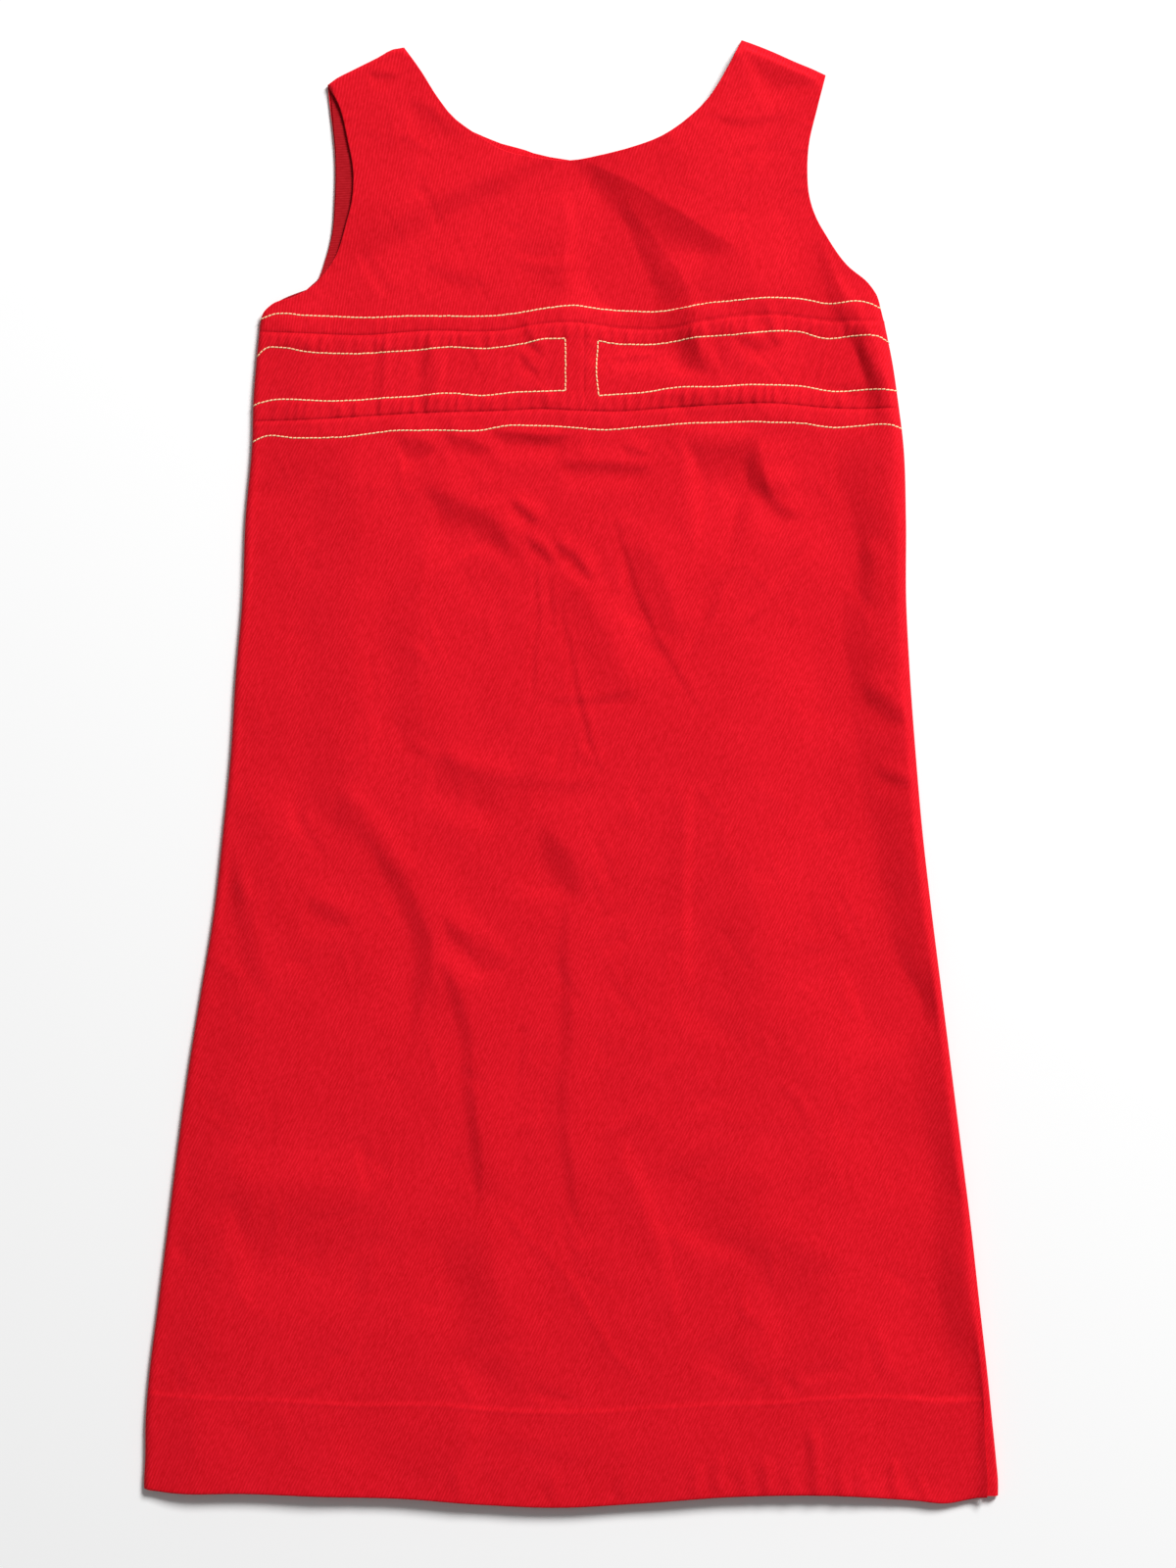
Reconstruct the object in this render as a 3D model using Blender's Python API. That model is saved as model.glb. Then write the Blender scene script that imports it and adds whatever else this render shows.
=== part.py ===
"""Sleeveless A-line mini dress in red cotton twill, laid flat with its front up.

The dress is a flattened tube. Its back lies flat on the surface, its front lies on the back,
and the cloth turns round both side edges. The front is cut as a yoke, a chest band in two
halves and a skirt with a deep turned-up hem. The back is cut in two halves with a facing
inside each. Every piece is a closed wall of cloth, worked out from a plan of its edges and
from the height of the laid front over any point of that plan.

Sizes are in millimetres until a mesh is made. X runs across the dress, Y up towards the neck
and Z up from the surface. The origin is the middle of the laid dress, at the surface.
"""

import math

import bpy
import numpy as np

MM = 0.001

# Cloth, and how its layers lie on each other
CLOTH_WALL = 1.2         # one layer of twill
FACING_WALL = 1.0
SEAM_GAP = 0.3           # clearance between two pieces
TURN_LOW = 1.5           # radius of a turned side edge, below the level of the side seam
TURN_HIGH = 3.0          # radius above that level
FOLD_START = 3.0         # distance over which folds rise behind a turned edge

# Hem: the cloth is turned up inside
HEM_DEPTH = 60.0
HEM_LAYER = 0.9
HEM_STEP = 0.7           # half the height over which the hem's extra layer ends
HEM_SIDE_START = 4.0     # the extra layer starts this far from a turned edge
HEM_SIDE_FULL = 10.0
HEM_CLEAR_RAMP = 8.0     # above the hem, troughs reach their full depth over this height
HEM_CORNER_Y = -443.0    # level at which the hem's corners lie

# Where the cut lines run
CENTRE_FRONT_X = 7.9
CENTRE_BACK_X = 1.0
STRIP_TOP_Y = -230.0     # the strip beside the right side seam starts here
FACING_FREE_INSET = 0.8
FACING_JOINED_INSET = 6.0
FACING_JOIN_SHARE = 0.2  # share of the armhole over which the facing's edge draws in at each end
FACING_CENTRE_INSET = 3.0
FACING_BOTTOM_Y = 244.0
FACING_BOTTOM_RISE = 8.0         # the facing's bottom edge rises this much towards the sides
FACING_BOTTOM_REACH = 190.0
HIDDEN_BACK_INSET = 2.0  # the back's right armhole lies this far inside the front's
HIDDEN_BACK_FADES = (0.25, 0.15)  # shares of its length over which it joins the front's, foot and top
BAND_MIDDLE_Y = 245.0
STRAP_FOOT_X = 112.0     # below the neck, the yoke's columns lie between this and its mirror place
NECK_CLEAR = 2.0         # the neck's own points this close to the centre-back seam are left out
JOIN_FADE = 9.0          # an edge goes from joined to free over this length

# Side edges of the laid dress
SIDES = (
    # y, left x, right x
    (275.4, -190.6, 192.2),
    (251.4, -193.0, 197.0),
    (227.4, -194.8, 200.5),
    (203.4, -195.5, 203.5),
    (155.4, -199.6, 205.3),
    (107.4, -201.5, 205.4),
    (59.4, -205.6, 207.8),
    (11.4, -208.6, 211.3),
    (-36.6, -213.4, 215.5),
    (-84.6, -218.8, 221.0),
    (-132.6, -226.6, 227.0),
    (-180.6, -234.4, 233.0),
    (-228.6, -241.0, 239.0),
    (-276.6, -247.0, 245.0),
    (-324.6, -253.0, 250.3),
    (-372.6, -259.0, 255.7),
    (-396.6, -260.8, 258.1),
    (-420.6, -261.1, 260.5),
    (-435.6, -261.75, 261.75),
    (-443.0, -261.7, 261.7),
)

# Seams above and below the chest band
BAND_SEAMS = (
    # x, upper y, lower y
    (-196.0, 270.6, 215.4),
    (-158.0, 268.8, 216.2),
    (-128.0, 267.8, 218.0),
    (-90.0, 270.4, 220.2),
    (-38.0, 271.2, 221.7),
    (-20.0, 274.6, 222.6),
    (2.0, 276.0, 221.7),
    (30.0, 272.6, 221.2),
    (59.0, 272.4, 223.2),
    (81.0, 276.4, 224.6),
    (124.0, 280.8, 226.2),
    (159.0, 277.2, 223.4),
    (204.0, 277.2, 223.4),
)

# Bottom edge of the hem
HEM_EDGE = (
    # x, y
    (-261.8, -438.4),
    (-247.6, -440.4),
    (-199.6, -441.0),
    (-151.6, -442.8),
    (-103.6, -444.0),
    (-55.6, -447.6),
    (-7.6, -449.4),
    (40.4, -447.0),
    (100.4, -442.8),
    (160.4, -442.2),
    (208.4, -445.2),
    (232.4, -447.0),
    (246.0, -444.3),
    (261.8, -442.6),
)

# Right side seam: near the hem it lies on the front, and a strip of the back shows beside it
SIDE_SEAM_INSET = (
    # y, width of the strip
    (-150.0, 0.0),
    (-230.0, 0.15),
    (-290.0, 1.3),
    (-330.0, 2.5),
    (-367.0, 3.3),
    (-390.0, 4.9),
    (-410.0, 6.3),
    (-443.0, 7.2),
)

# Edges of the bodice, each from left to right or from bottom to top
LEFT_SHOULDER = (
    (-149.3, 421.8), (-144.4, 425.4), (-133.0, 431.4), (-118.6, 438.6), (-109.6, 443.4),
    (-102.4, 444.9),
)
RIGHT_SHOULDER = (
    (104.5, 449.4), (112.4, 446.6), (124.4, 441.8), (136.4, 436.4), (148.4, 431.4), (156.1, 427.8),
)
FRONT_NECK = (
    (-102.4, 444.9), (-91.6, 429.6), (-81.4, 413.4), (-71.8, 401.4), (-64.2, 395.5), (-55.5, 389.8),
    (-42.2, 381.9), (-20.3, 377.0), (0.8, 375.4), (16.4, 378.0), (38.6, 383.4), (54.8, 389.4),
    (72.2, 401.4), (84.2, 413.4), (92.0, 425.4), (98.6, 437.4), (104.5, 449.4),
)
BACK_NECK = (
    (-102.4, 444.9), (-92.4, 429.0), (-82.2, 412.8), (-72.4, 400.8), (-64.2, 395.3), (-54.0, 390.6),
    (-42.2, 385.9), (-28.2, 382.2), (-20.3, 379.3), (-10.7, 377.5), (1.0, 375.6), (16.8, 376.6),
    (39.0, 382.0), (55.4, 388.0), (73.0, 400.0), (85.2, 412.4), (93.0, 424.8), (99.6, 437.0),
    (104.5, 449.4),
)
LEFT_ARMHOLE_FRONT = (
    (-190.6, 275.4), (-188.8, 281.4), (-182.8, 287.4), (-169.6, 291.8), (-156.6, 300.0), (-149.5, 308.4),
    (-144.8, 315.6), (-138.2, 335.4), (-134.2, 352.0), (-133.5, 367.8), (-136.9, 387.6),
    (-142.9, 410.4), (-149.3, 421.8),
)
LEFT_ARMHOLE_BACK = (
    (-190.6, 275.4), (-188.8, 281.4), (-182.8, 287.4), (-169.6, 291.8), (-157.6, 299.4), (-149.8, 317.4),
    (-146.8, 329.4), (-145.0, 350.0), (-145.0, 383.4), (-146.2, 395.4), (-148.0, 410.4), (-149.3, 421.8),
)
RIGHT_ARMHOLE_FRONT = (
    (192.2, 275.4), (190.4, 281.4), (186.8, 293.4), (182.6, 299.4), (168.8, 311.4), (156.2, 329.4),
    (149.6, 341.4), (145.9, 353.4), (144.7, 368.0), (145.4, 383.4), (150.8, 407.4), (156.1, 427.8),
)

# Largest folds of the laid front. A path follows the crest, down the dress or to the right, and the
# steep slope below and to its left runs down to a trough. Gentle slopes lie beyond each of the two.
FOLDS = (
    # name, rise of crest, width beyond, width of steep slope, depth of trough, width beyond, path
    ("crescent", 4.8, 170, 28, 1.4, 46, ((1, 377), (20, 369), (39, 360), (58, 350), (78, 338),
     (98, 322), (120, 304))),
    ("drag", 0.9, 60, 21, 3.3, 44, ((31, 356), (46, 334), (60, 315), (68, 299), (73, 284), (77, 269),
     (79, 256), (82, 237))),
    ("drag_hollow", 0.5, 30, 38, 1.2, 26, ((39, 351), (56, 320), (70, 284))),
    ("neck_arc", 1.5, 28, 17, 1.4, 36, ((-142, 303), (-111, 337), (-78, 358), (-50, 369),
     (-21, 376), (7, 377))),
    ("bust", 0.9, 7, 20, 4.6, 60, ((152, 332), (165, 302), (180, 273), (187, 250),
     (190, 226), (193, 202))),
    ("block", 0.6, 10, 32, 3.2, 60, ((66, 208), (92, 208), (117, 206))),
    ("block_edge", 1.4, 40, 18, 0.9, 24, ((117, 209), (118, 188), (120, 166))),
    ("wedge", 1.5, 26, 20, 1.4, 30, ((-93, 176), (-70, 169), (-50, 162), (-39, 148), (-35, 129))),
    ("bright_facet", 1.7, 21, 26, 0.0, 26, ((-6, 128), (18, 89), (43, 44))),
    ("side_valley", 1.0, 5, 33, 5.0, 80, ((194, 250), (197, 209), (199, 161), (199, 113), (201, 65),
     (205, 23), (213, -25), (222, -76), (229, -127), (235, -169))),
    ("left_panel", 1.3, 44, 36, 1.9, 44, ((-132, 212), (-130, 137), (-131, 53), (-135, -46))),
    ("left_panel_edge", 1.5, 40, 24, 1.0, 40, ((-93, 149), (-92, 89), (-91, 4))),
    ("spindle", 1.7, 36, 15, 1.2, 30, ((-130, -28), (-111, -52), (-95, -75), (-87, -97), (-86, -119),
     (-89, -142), (-96, -173))),
    ("leaf", 1.0, 15, 12, 0.9, 14, ((-81, -85), (-60, -98), (-41, -122))),
    ("blot", 1.0, 26, 20, 1.1, 26, ((-22, -26), (-6, -41), (6, -62), (9, -86))),
    ("middle_band", 0.9, 22, 9, 0.5, 20, ((1, -65), (0, -115), (0, -163), (1, -217), (3, -287))),
    ("long_line", 1.5, 30, 9, 0.5, 18, ((-82, -110), (-66, -139), (-59, -165), (-57, -199),
     (-56, -235), (-55, -268))),
    ("long_band", 1.3, 30, 30, 1.0, 26, ((-56, -253), (-47, -289), (-42, -319),
     (-39, -349), (-34, -386))),
    ("line_hollow", 1.2, 36, 34, 1.2, 20, ((109, -44), (112, -103), (111, -179))),
    ("right_hollow", 1.2, 46, 48, 1.3, 30, ((116, -223), (119, -259), (120, -301))),
    ("right_hollow_low", 0.9, 34, 38, 1.0, 30, ((102, -289), (136, -289), (171, -295))),
    ("left_low_hollow", 1.3, 30, 48, 1.4, 40, ((-215, -250), (-170, -250), (-108, -255))),
    ("right_lower", 0.6, 5, 28, 3.8, 70, ((224, -97), (229, -127), (237, -181), (243, -229), (247, -277),
     (252, -325), (256, -379), (258, -421), (259, -481))),
    ("hem_ripple", 1.0, 6, 5, 0.3, 6, ((148, -391), (148, -419), (148, -447))),
)
FOLD_SAMPLES = 24
FOLD_END = 0.2           # share of a fold's length over which each end fades out

# Between its edges the front stands clear of what lies below
PLATEAU = 3.0            # how far it rises
PLATEAU_RAMP = 38.0      # distance behind an edge over which it rises
PLATEAU_RIGHT = 2.5      # the right side is a thick bundle, which rises this far at once
PLATEAU_RAMP_RIGHT = 5.0
PLATEAU_RIGHT_START = 165.0
PLATEAU_RIGHT_END = 190.0  # the right side's rise and ramp are used past this place
PLATEAU_TOP_START = 280.0
PLATEAU_TOP_END = 390.0  # it dies out between these levels, towards the straps
FACING_CLEAR_START = 230.0
FACING_CLEAR_END = 240.0

# Steps of the meshes
TURN_STEPS = (0.4, 1.5, 3.0)     # distances behind a turned edge that get a line of points
SKIRT_COLUMNS = 38
SKIRT_ROWS = 34
HEM_ROWS = 3
STRAP_COLUMNS = 6
NECK_COLUMNS = 16
YOKE_ROWS = 18
BAND_COLUMNS = 18
BAND_ROWS = 5
BACK_STRAP_COLUMNS = 3
BACK_NECK_COLUMNS = 8
BACK_ROW_SKIP = 3        # above the strip at the side seam, the back has one row for three of the skirt's
BACK_ARMHOLE_ROWS = 11
BACK_TURN_COLUMNS = 3
STRIP_TURN_COLUMNS = 7
ARMHOLE_SAMPLES = 24
PATH_DETAIL = 40         # points read for each given one when a path is spaced evenly
RIM_STEP = 6.0           # spacing of the points that stand for the front's edges
SHARP_ANGLE = 50.0       # edges between faces that meet at more degrees than this are sharp

TWILL_RED = (0.690, 0.009, 0.020)
TWILL_ROUGHNESS = 0.85
FACING_RED = (0.440, 0.006, 0.012)
FACING_ROUGHNESS = 0.9


def smooth_read(xs, ys, x):
    """Reads a smooth curve through (xs, ys) at x; the ends run on straight."""
    xs = np.asarray(xs, float)
    ys = np.asarray(ys, float)
    slopes = np.gradient(ys, xs)
    x = np.asarray(x, float)
    i = np.clip(np.searchsorted(xs, x) - 1, 0, len(xs) - 2)
    span = xs[i + 1] - xs[i]
    t = np.clip((x - xs[i]) / span, 0, 1)
    past = x - np.clip(x, xs[0], xs[-1])
    end_slope = np.where(past < 0, slopes[0], slopes[-1])
    blend = t * t * (3 - 2 * t)
    curve = ys[i] * (1 - blend) + ys[i + 1] * blend
    curve = curve + span * (slopes[i] * t * (1 - t) ** 2 - slopes[i + 1] * t * t * (1 - t))
    return curve + past * end_slope


def smooth_path(points, count):
    """Evenly spaced points along a smooth curve through the given points."""
    points = np.asarray(points, float)
    chord = np.concatenate([[0], np.cumsum(np.hypot(*np.diff(points, axis=0).T))])
    fine = np.linspace(0, chord[-1], PATH_DETAIL * len(points))
    curve = np.stack([smooth_read(chord, column, fine) for column in points.T], axis=1)
    length = np.concatenate([[0], np.cumsum(np.hypot(*np.diff(curve, axis=0).T))])
    places = np.linspace(0, length[-1], count)
    return np.stack([np.interp(places, length, column) for column in curve.T], axis=1)


def path_length(points):
    """Length of a path through the given points."""
    return float(np.sum(np.hypot(*np.diff(np.asarray(points, float), axis=0).T)))


def ease(x):
    """Goes smoothly from 0 at x = 0 to 1 at x = 1."""
    x = np.clip(x, 0, 1)
    return x * x * (3 - 2 * x)


def side_x(y, right):
    """X of the dress's left or right edge at height y of the plan."""
    table = np.array(SIDES)[::-1]
    return smooth_read(table[:, 0], table[:, 2 if right else 1], y)


def seam_y(x, upper):
    """Y of the seam above or below the chest band."""
    table = np.array(BAND_SEAMS)
    return smooth_read(table[:, 0], table[:, 1 if upper else 2], x)


def hem_y(x):
    """Y of the hem's bottom edge."""
    table = np.array(HEM_EDGE)
    return smooth_read(table[:, 0], table[:, 1], x)


def strip_width(y):
    """Width of the strip of the back that shows beside the right side seam."""
    table = np.array(SIDE_SEAM_INSET)[::-1]
    return np.interp(y, table[:, 0], table[:, 1])


def turn_of(inset):
    """Length along the cloth, from the level of the side seam, of a point this far inside the edge."""
    angle = np.arccos(1 - np.clip(inset, 0, TURN_HIGH) / TURN_HIGH)
    return TURN_HIGH * angle + np.maximum(inset - TURN_HIGH, 0)


def turned_edge(along):
    """Inset, height and lean of the cloth's outer face, by length along the cloth round an edge."""
    low = np.clip(along / TURN_LOW, -math.pi / 2, 0)
    high = np.clip(along / TURN_HIGH, 0, math.pi / 2)
    inset = TURN_LOW * (1 - np.cos(low)) + TURN_HIGH * (1 - np.cos(high))
    inset = inset + np.maximum(-TURN_LOW * math.pi / 2 - along, 0)
    inset = inset + np.maximum(along - TURN_HIGH * math.pi / 2, 0)
    height = TURN_LOW * (1 + np.sin(low)) + TURN_HIGH * np.sin(high)
    return inset, height, low + high


def rim_part(points, joined):
    """Points along one edge of the front, with 1 where it is joined to the back and 0 where free."""
    count = max(3, int(path_length(points) / RIM_STEP))
    path = smooth_path(points, count)
    if joined:
        return path, np.ones(count)
    along = np.linspace(0, path_length(path), count)
    return path, 1 - ease(np.minimum(along, along[-1] - along) / JOIN_FADE)


def side_points(right):
    """Points up one side edge, from the hem to the armhole."""
    column = 2 if right else 1
    rows = [(row[column], row[0]) for row in SIDES][::-1]
    rows[0] = (rows[0][0], float(hem_y(rows[0][0])))
    return rows


def front_rim():
    """Edge of the front from the hem's left corner over the neck to its right corner."""
    parts = [
        rim_part(side_points(False), True),
        rim_part(LEFT_ARMHOLE_FRONT, False),
        rim_part(LEFT_SHOULDER, True),
        rim_part(FRONT_NECK, False),
        rim_part(RIGHT_SHOULDER, True),
        rim_part(RIGHT_ARMHOLE_FRONT[::-1], False),
        rim_part(side_points(True)[::-1], True),
    ]
    points = np.concatenate([path[:-1] for path, _ in parts] + [parts[-1][0][-1:]])
    joined = np.concatenate([weight[:-1] for _, weight in parts] + [parts[-1][1][-1:]])
    return points, joined


RIM_POINTS, RIM_JOINED = front_rim()


def nearest_rim(x, y):
    """Distance to the front's edge, the direction out of it, and how far it is joined there."""
    best = np.full(x.shape, np.inf)
    out_x = np.zeros(x.shape)
    out_y = np.zeros(x.shape)
    joined = np.zeros(x.shape)
    for i in range(len(RIM_POINTS) - 1):
        start = RIM_POINTS[i]
        step = RIM_POINTS[i + 1] - start
        size = math.hypot(step[0], step[1])
        share = np.clip(((x - start[0]) * step[0] + (y - start[1]) * step[1]) / size ** 2, 0, 1)
        gap = np.hypot(x - start[0] - share * step[0], y - start[1] - share * step[1])
        closer = gap < best
        best = np.where(closer, gap, best)
        out_x = np.where(closer, -step[1] / size, out_x)
        out_y = np.where(closer, step[0] / size, out_y)
        joined = np.where(closer, RIM_JOINED[i] * (1 - share) + RIM_JOINED[i + 1] * share, joined)
    return best, out_x, out_y, joined


def one_fold(x, y, rise, beyond, steep, dip, behind, path):
    """Height of one fold over the plan points."""
    line = smooth_path(path, FOLD_SAMPLES)
    best = np.full(x.shape, np.inf)
    side = np.zeros(x.shape)
    along = np.zeros(x.shape)
    for i in range(FOLD_SAMPLES - 1):
        start = line[i]
        step = line[i + 1] - start
        share = np.clip(((x - start[0]) * step[0] + (y - start[1]) * step[1]) / (step @ step), 0, 1)
        off_x = x - start[0] - share * step[0]
        off_y = y - start[1] - share * step[1]
        gap = np.hypot(off_x, off_y)
        closer = gap < best
        best = np.where(closer, gap, best)
        side = np.where(closer, np.sign(off_y * step[0] - off_x * step[1]) * gap, side)
        along = np.where(closer, (i + share) / (FOLD_SAMPLES - 1), along)
    crest_side = rise * ease(1 - side / beyond)
    slope = rise - (rise + dip) * ease(-side / steep)
    trough_side = -dip * ease(1 - (-side - steep) / behind)
    height = np.where(side > 0, crest_side, np.where(side > -steep, slope, trough_side))
    return height * ease(along / FOLD_END) * ease((1 - along) / FOLD_END)


def lowest_front(x, y):
    """Lowest level of the front's outer face that keeps it clear of the back, the facing and the hem."""
    over_back = 2 * CLOTH_WALL + SEAM_GAP
    over_facing = over_back + FACING_WALL + SEAM_GAP
    over_hem = over_back + 2 * HEM_LAYER
    lowest = over_back + (over_facing - over_back) * ease((y - FACING_CLEAR_START)
                                                          / (FACING_CLEAR_END - FACING_CLEAR_START))
    hem = 1 - ease((y - hem_y(x) - HEM_DEPTH - HEM_STEP) / HEM_CLEAR_RAMP)
    return lowest + (over_hem - over_back) * hem


def front_height(x, y, gap, joined):
    """Height of the laid front's outer face, from the distance to its edge and how far that is joined."""
    top = 1 - ease((y - PLATEAU_TOP_START) / (PLATEAU_TOP_END - PLATEAU_TOP_START))
    right = ease((x - PLATEAU_RIGHT_START) / (PLATEAU_RIGHT_END - PLATEAU_RIGHT_START))
    ramp = PLATEAU_RAMP + (PLATEAU_RAMP_RIGHT - PLATEAU_RAMP) * right
    plateau = PLATEAU + (PLATEAU_RIGHT - PLATEAU) * right
    base = TURN_LOW + TURN_HIGH + plateau * ease(gap / ramp) * top
    folds = sum(one_fold(x, y, *row[1:]) for row in FOLDS)
    folds = np.maximum(folds, lowest_front(x, y) - base)
    turned = np.minimum(gap, TURN_HIGH)
    roll = TURN_HIGH - np.sqrt(np.maximum(TURN_HIGH ** 2 - (TURN_HIGH - turned) ** 2, 0))
    rise = 1 - joined * (1 - ease((gap - TURN_HIGH) / FOLD_START))
    return base - joined * roll + rise * folds


def hem_share(x, y):
    """1 inside the turned-up hem and 0 above it, away from the side edges."""
    above = y - hem_y(x)
    inside = np.minimum(x - side_x(y, False), side_x(y, True) - x)
    side = ease((inside - HEM_SIDE_START) / (HEM_SIDE_FULL - HEM_SIDE_START))
    return np.where(above < HEM_DEPTH, 1.0, 0.0) * side


def front_wall(plan):
    """Outer and inner points of the laid front over a grid of plan points."""
    x, y = plan[..., 0], plan[..., 1]
    gap, out_x, out_y, joined = nearest_rim(x, y)
    height = front_height(x, y, gap, joined)
    lean = joined * (TURN_HIGH - np.minimum(gap, TURN_HIGH)) / TURN_HIGH
    wall = CLOTH_WALL + HEM_LAYER * hem_share(x, y)
    low = np.maximum(height - wall * np.sqrt(1 - lean ** 2), TURN_LOW + SEAM_GAP / 2)
    outer = np.stack([x, y, height], axis=-1)
    inner = np.stack([x - out_x * wall * lean, y - out_y * wall * lean, low], axis=-1)
    return outer, inner


def coons(bottom, top, left, right, levels=None):
    """Grid of plan points between four edges; rows run from bottom to top, at the given shares."""
    u = np.linspace(0, 1, len(bottom))[None, :, None]
    v = (np.linspace(0, 1, len(left)) if levels is None else levels)[:, None, None]
    across = (1 - u) * left[:, None, :] + u * right[:, None, :]
    along = (1 - v) * bottom[None, :, :] + v * top[None, :, :]
    corners = (1 - v) * ((1 - u) * bottom[0] + u * bottom[-1]) + v * ((1 - u) * top[0] + u * top[-1])
    return across + along - corners


def add_turn_lines(grid, side):
    """Adds lines of points close behind one side of a grid: left, right or top."""
    if side == "top":
        return add_turn_lines(grid.transpose(1, 0, 2), "right").transpose(1, 0, 2)
    if side == "left":
        return add_turn_lines(grid[:, ::-1], "right")[:, ::-1]
    edge, inner = grid[:, -1], grid[:, -2]
    reach = np.hypot(*(inner - edge).T)[:, None]
    lines = [edge + (inner - edge) * np.minimum(step / reach, 0.9) for step in reversed(TURN_STEPS)]
    return np.concatenate([grid[:, :-1], np.stack(lines, axis=1), edge[:, None]], axis=1)


def wall_mesh(name, upper, lower, material):
    """Closed wall between two grids of points, made into one object."""
    rows, columns = upper.shape[:2]
    size = rows * columns
    grid = np.arange(size).reshape(rows, columns)
    faces = []
    for i in range(rows - 1):
        for j in range(columns - 1):
            a, b, c, d = (int(n) for n in (grid[i, j], grid[i, j + 1], grid[i + 1, j + 1], grid[i + 1, j]))
            faces.append((a, b, c, d))
            faces.append((d + size, c + size, b + size, a + size))
    loop = [*grid[0, :-1], *grid[:-1, -1], *grid[-1, :0:-1], *grid[:0:-1, 0]]
    for a, b in zip(loop, loop[1:] + loop[:1]):
        a, b = int(a), int(b)
        faces.append((a, a + size, b + size, b))
    points = np.concatenate([upper.reshape(-1, 3), lower.reshape(-1, 3)]) * MM
    mesh = bpy.data.meshes.new(name)
    mesh.from_pydata(points.tolist(), [], faces)
    mesh.update()
    mesh.materials.append(material)
    mesh.shade_smooth()
    mesh.set_sharp_from_angle(angle=math.radians(SHARP_ANGLE))
    obj = bpy.data.objects.new(name, mesh)
    bpy.context.scene.collection.objects.link(obj)
    return obj


def cloth_material(name, colour, roughness):
    """Plain cloth finish for one piece."""
    material = bpy.data.materials.new(name)
    material.use_nodes = True
    shader = material.node_tree.nodes["Principled BSDF"]
    shader.inputs["Base Color"].default_value = (*colour, 1)
    shader.inputs["Roughness"].default_value = roughness
    shader.inputs["Metallic"].default_value = 0.0
    material.diffuse_color = (*colour, 1)
    return material


def seam_line(xs, upper, shift):
    """Plan points along a band seam, moved up by shift."""
    return np.stack([xs, seam_y(xs, upper) + shift], axis=1)


def side_corner(right, upper, shift):
    """Where a band seam meets a side edge."""
    x = float(side_x(BAND_MIDDLE_Y, right))
    for _ in range(4):  # settles at the crossing
        y = float(seam_y(x, upper)) + shift
        x = float(side_x(y, right))
    return x, y


def make_front_yoke():
    """Bodice above the chest band, with both shoulder straps."""
    left_x, left_y = side_corner(False, True, SEAM_GAP / 2)
    right_x, right_y = side_corner(True, True, SEAM_GAP / 2)
    xs = np.concatenate([
        np.linspace(left_x, -STRAP_FOOT_X, STRAP_COLUMNS + 1)[:-1],
        np.linspace(-STRAP_FOOT_X, STRAP_FOOT_X, NECK_COLUMNS + 1)[:-1],
        np.linspace(STRAP_FOOT_X, right_x, STRAP_COLUMNS + 1),
    ])
    bottom = seam_line(xs, True, SEAM_GAP / 2)
    top = np.concatenate([
        smooth_path(LEFT_SHOULDER, STRAP_COLUMNS + 1)[:-1],
        smooth_path(FRONT_NECK, NECK_COLUMNS + 1)[:-1],
        smooth_path(RIGHT_SHOULDER, STRAP_COLUMNS + 1),
    ])
    left = smooth_path(((left_x, left_y),) + LEFT_ARMHOLE_FRONT, YOKE_ROWS + 1)
    right = smooth_path(((right_x, right_y),) + RIGHT_ARMHOLE_FRONT, YOKE_ROWS + 1)
    plan = coons(bottom, top, left, right)
    for side in ("left", "right", "top"):
        plan = add_turn_lines(plan, side)
    outer, inner = front_wall(plan)
    wall_mesh("front_yoke", outer, inner, cloth_material("yoke_twill", TWILL_RED, TWILL_ROUGHNESS))


def make_chest_band(right):
    """One half of the chest band, from the side edge to the centre-front seam."""
    centre = CENTRE_FRONT_X + (SEAM_GAP / 2 if right else -SEAM_GAP / 2)
    low_x, low_y = side_corner(right, False, SEAM_GAP / 2)
    high_x, high_y = side_corner(right, True, -SEAM_GAP / 2)
    side_ys = np.linspace(low_y, high_y, BAND_ROWS + 1)
    side = np.stack([side_x(side_ys, right), side_ys], axis=1)
    bottom = seam_line(np.linspace(low_x, centre, BAND_COLUMNS + 1), False, SEAM_GAP / 2)
    top = seam_line(np.linspace(high_x, centre, BAND_COLUMNS + 1), True, -SEAM_GAP / 2)
    middle = np.linspace(bottom[-1], top[-1], BAND_ROWS + 1)
    if right:
        plan = add_turn_lines(coons(bottom[::-1], top[::-1], middle, side), "right")
    else:
        plan = add_turn_lines(coons(bottom, top, side, middle), "left")
    outer, inner = front_wall(plan)
    name = "chest_band_right" if right else "chest_band_left"
    wall_mesh(name, outer, inner, cloth_material(name + "_twill", TWILL_RED, TWILL_ROUGHNESS))


def side_levels(right):
    """Heights of the skirt's rows at a side edge, with two close ones where the hem's layer ends."""
    low = float(hem_y(side_x(HEM_CORNER_Y, right)))
    high = side_corner(right, False, -SEAM_GAP / 2)[1]
    hem = np.linspace(low, low + HEM_DEPTH - HEM_STEP, HEM_ROWS + 1)
    return np.concatenate([hem, np.linspace(low + HEM_DEPTH + HEM_STEP, high, SKIRT_ROWS - HEM_ROWS)])


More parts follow.
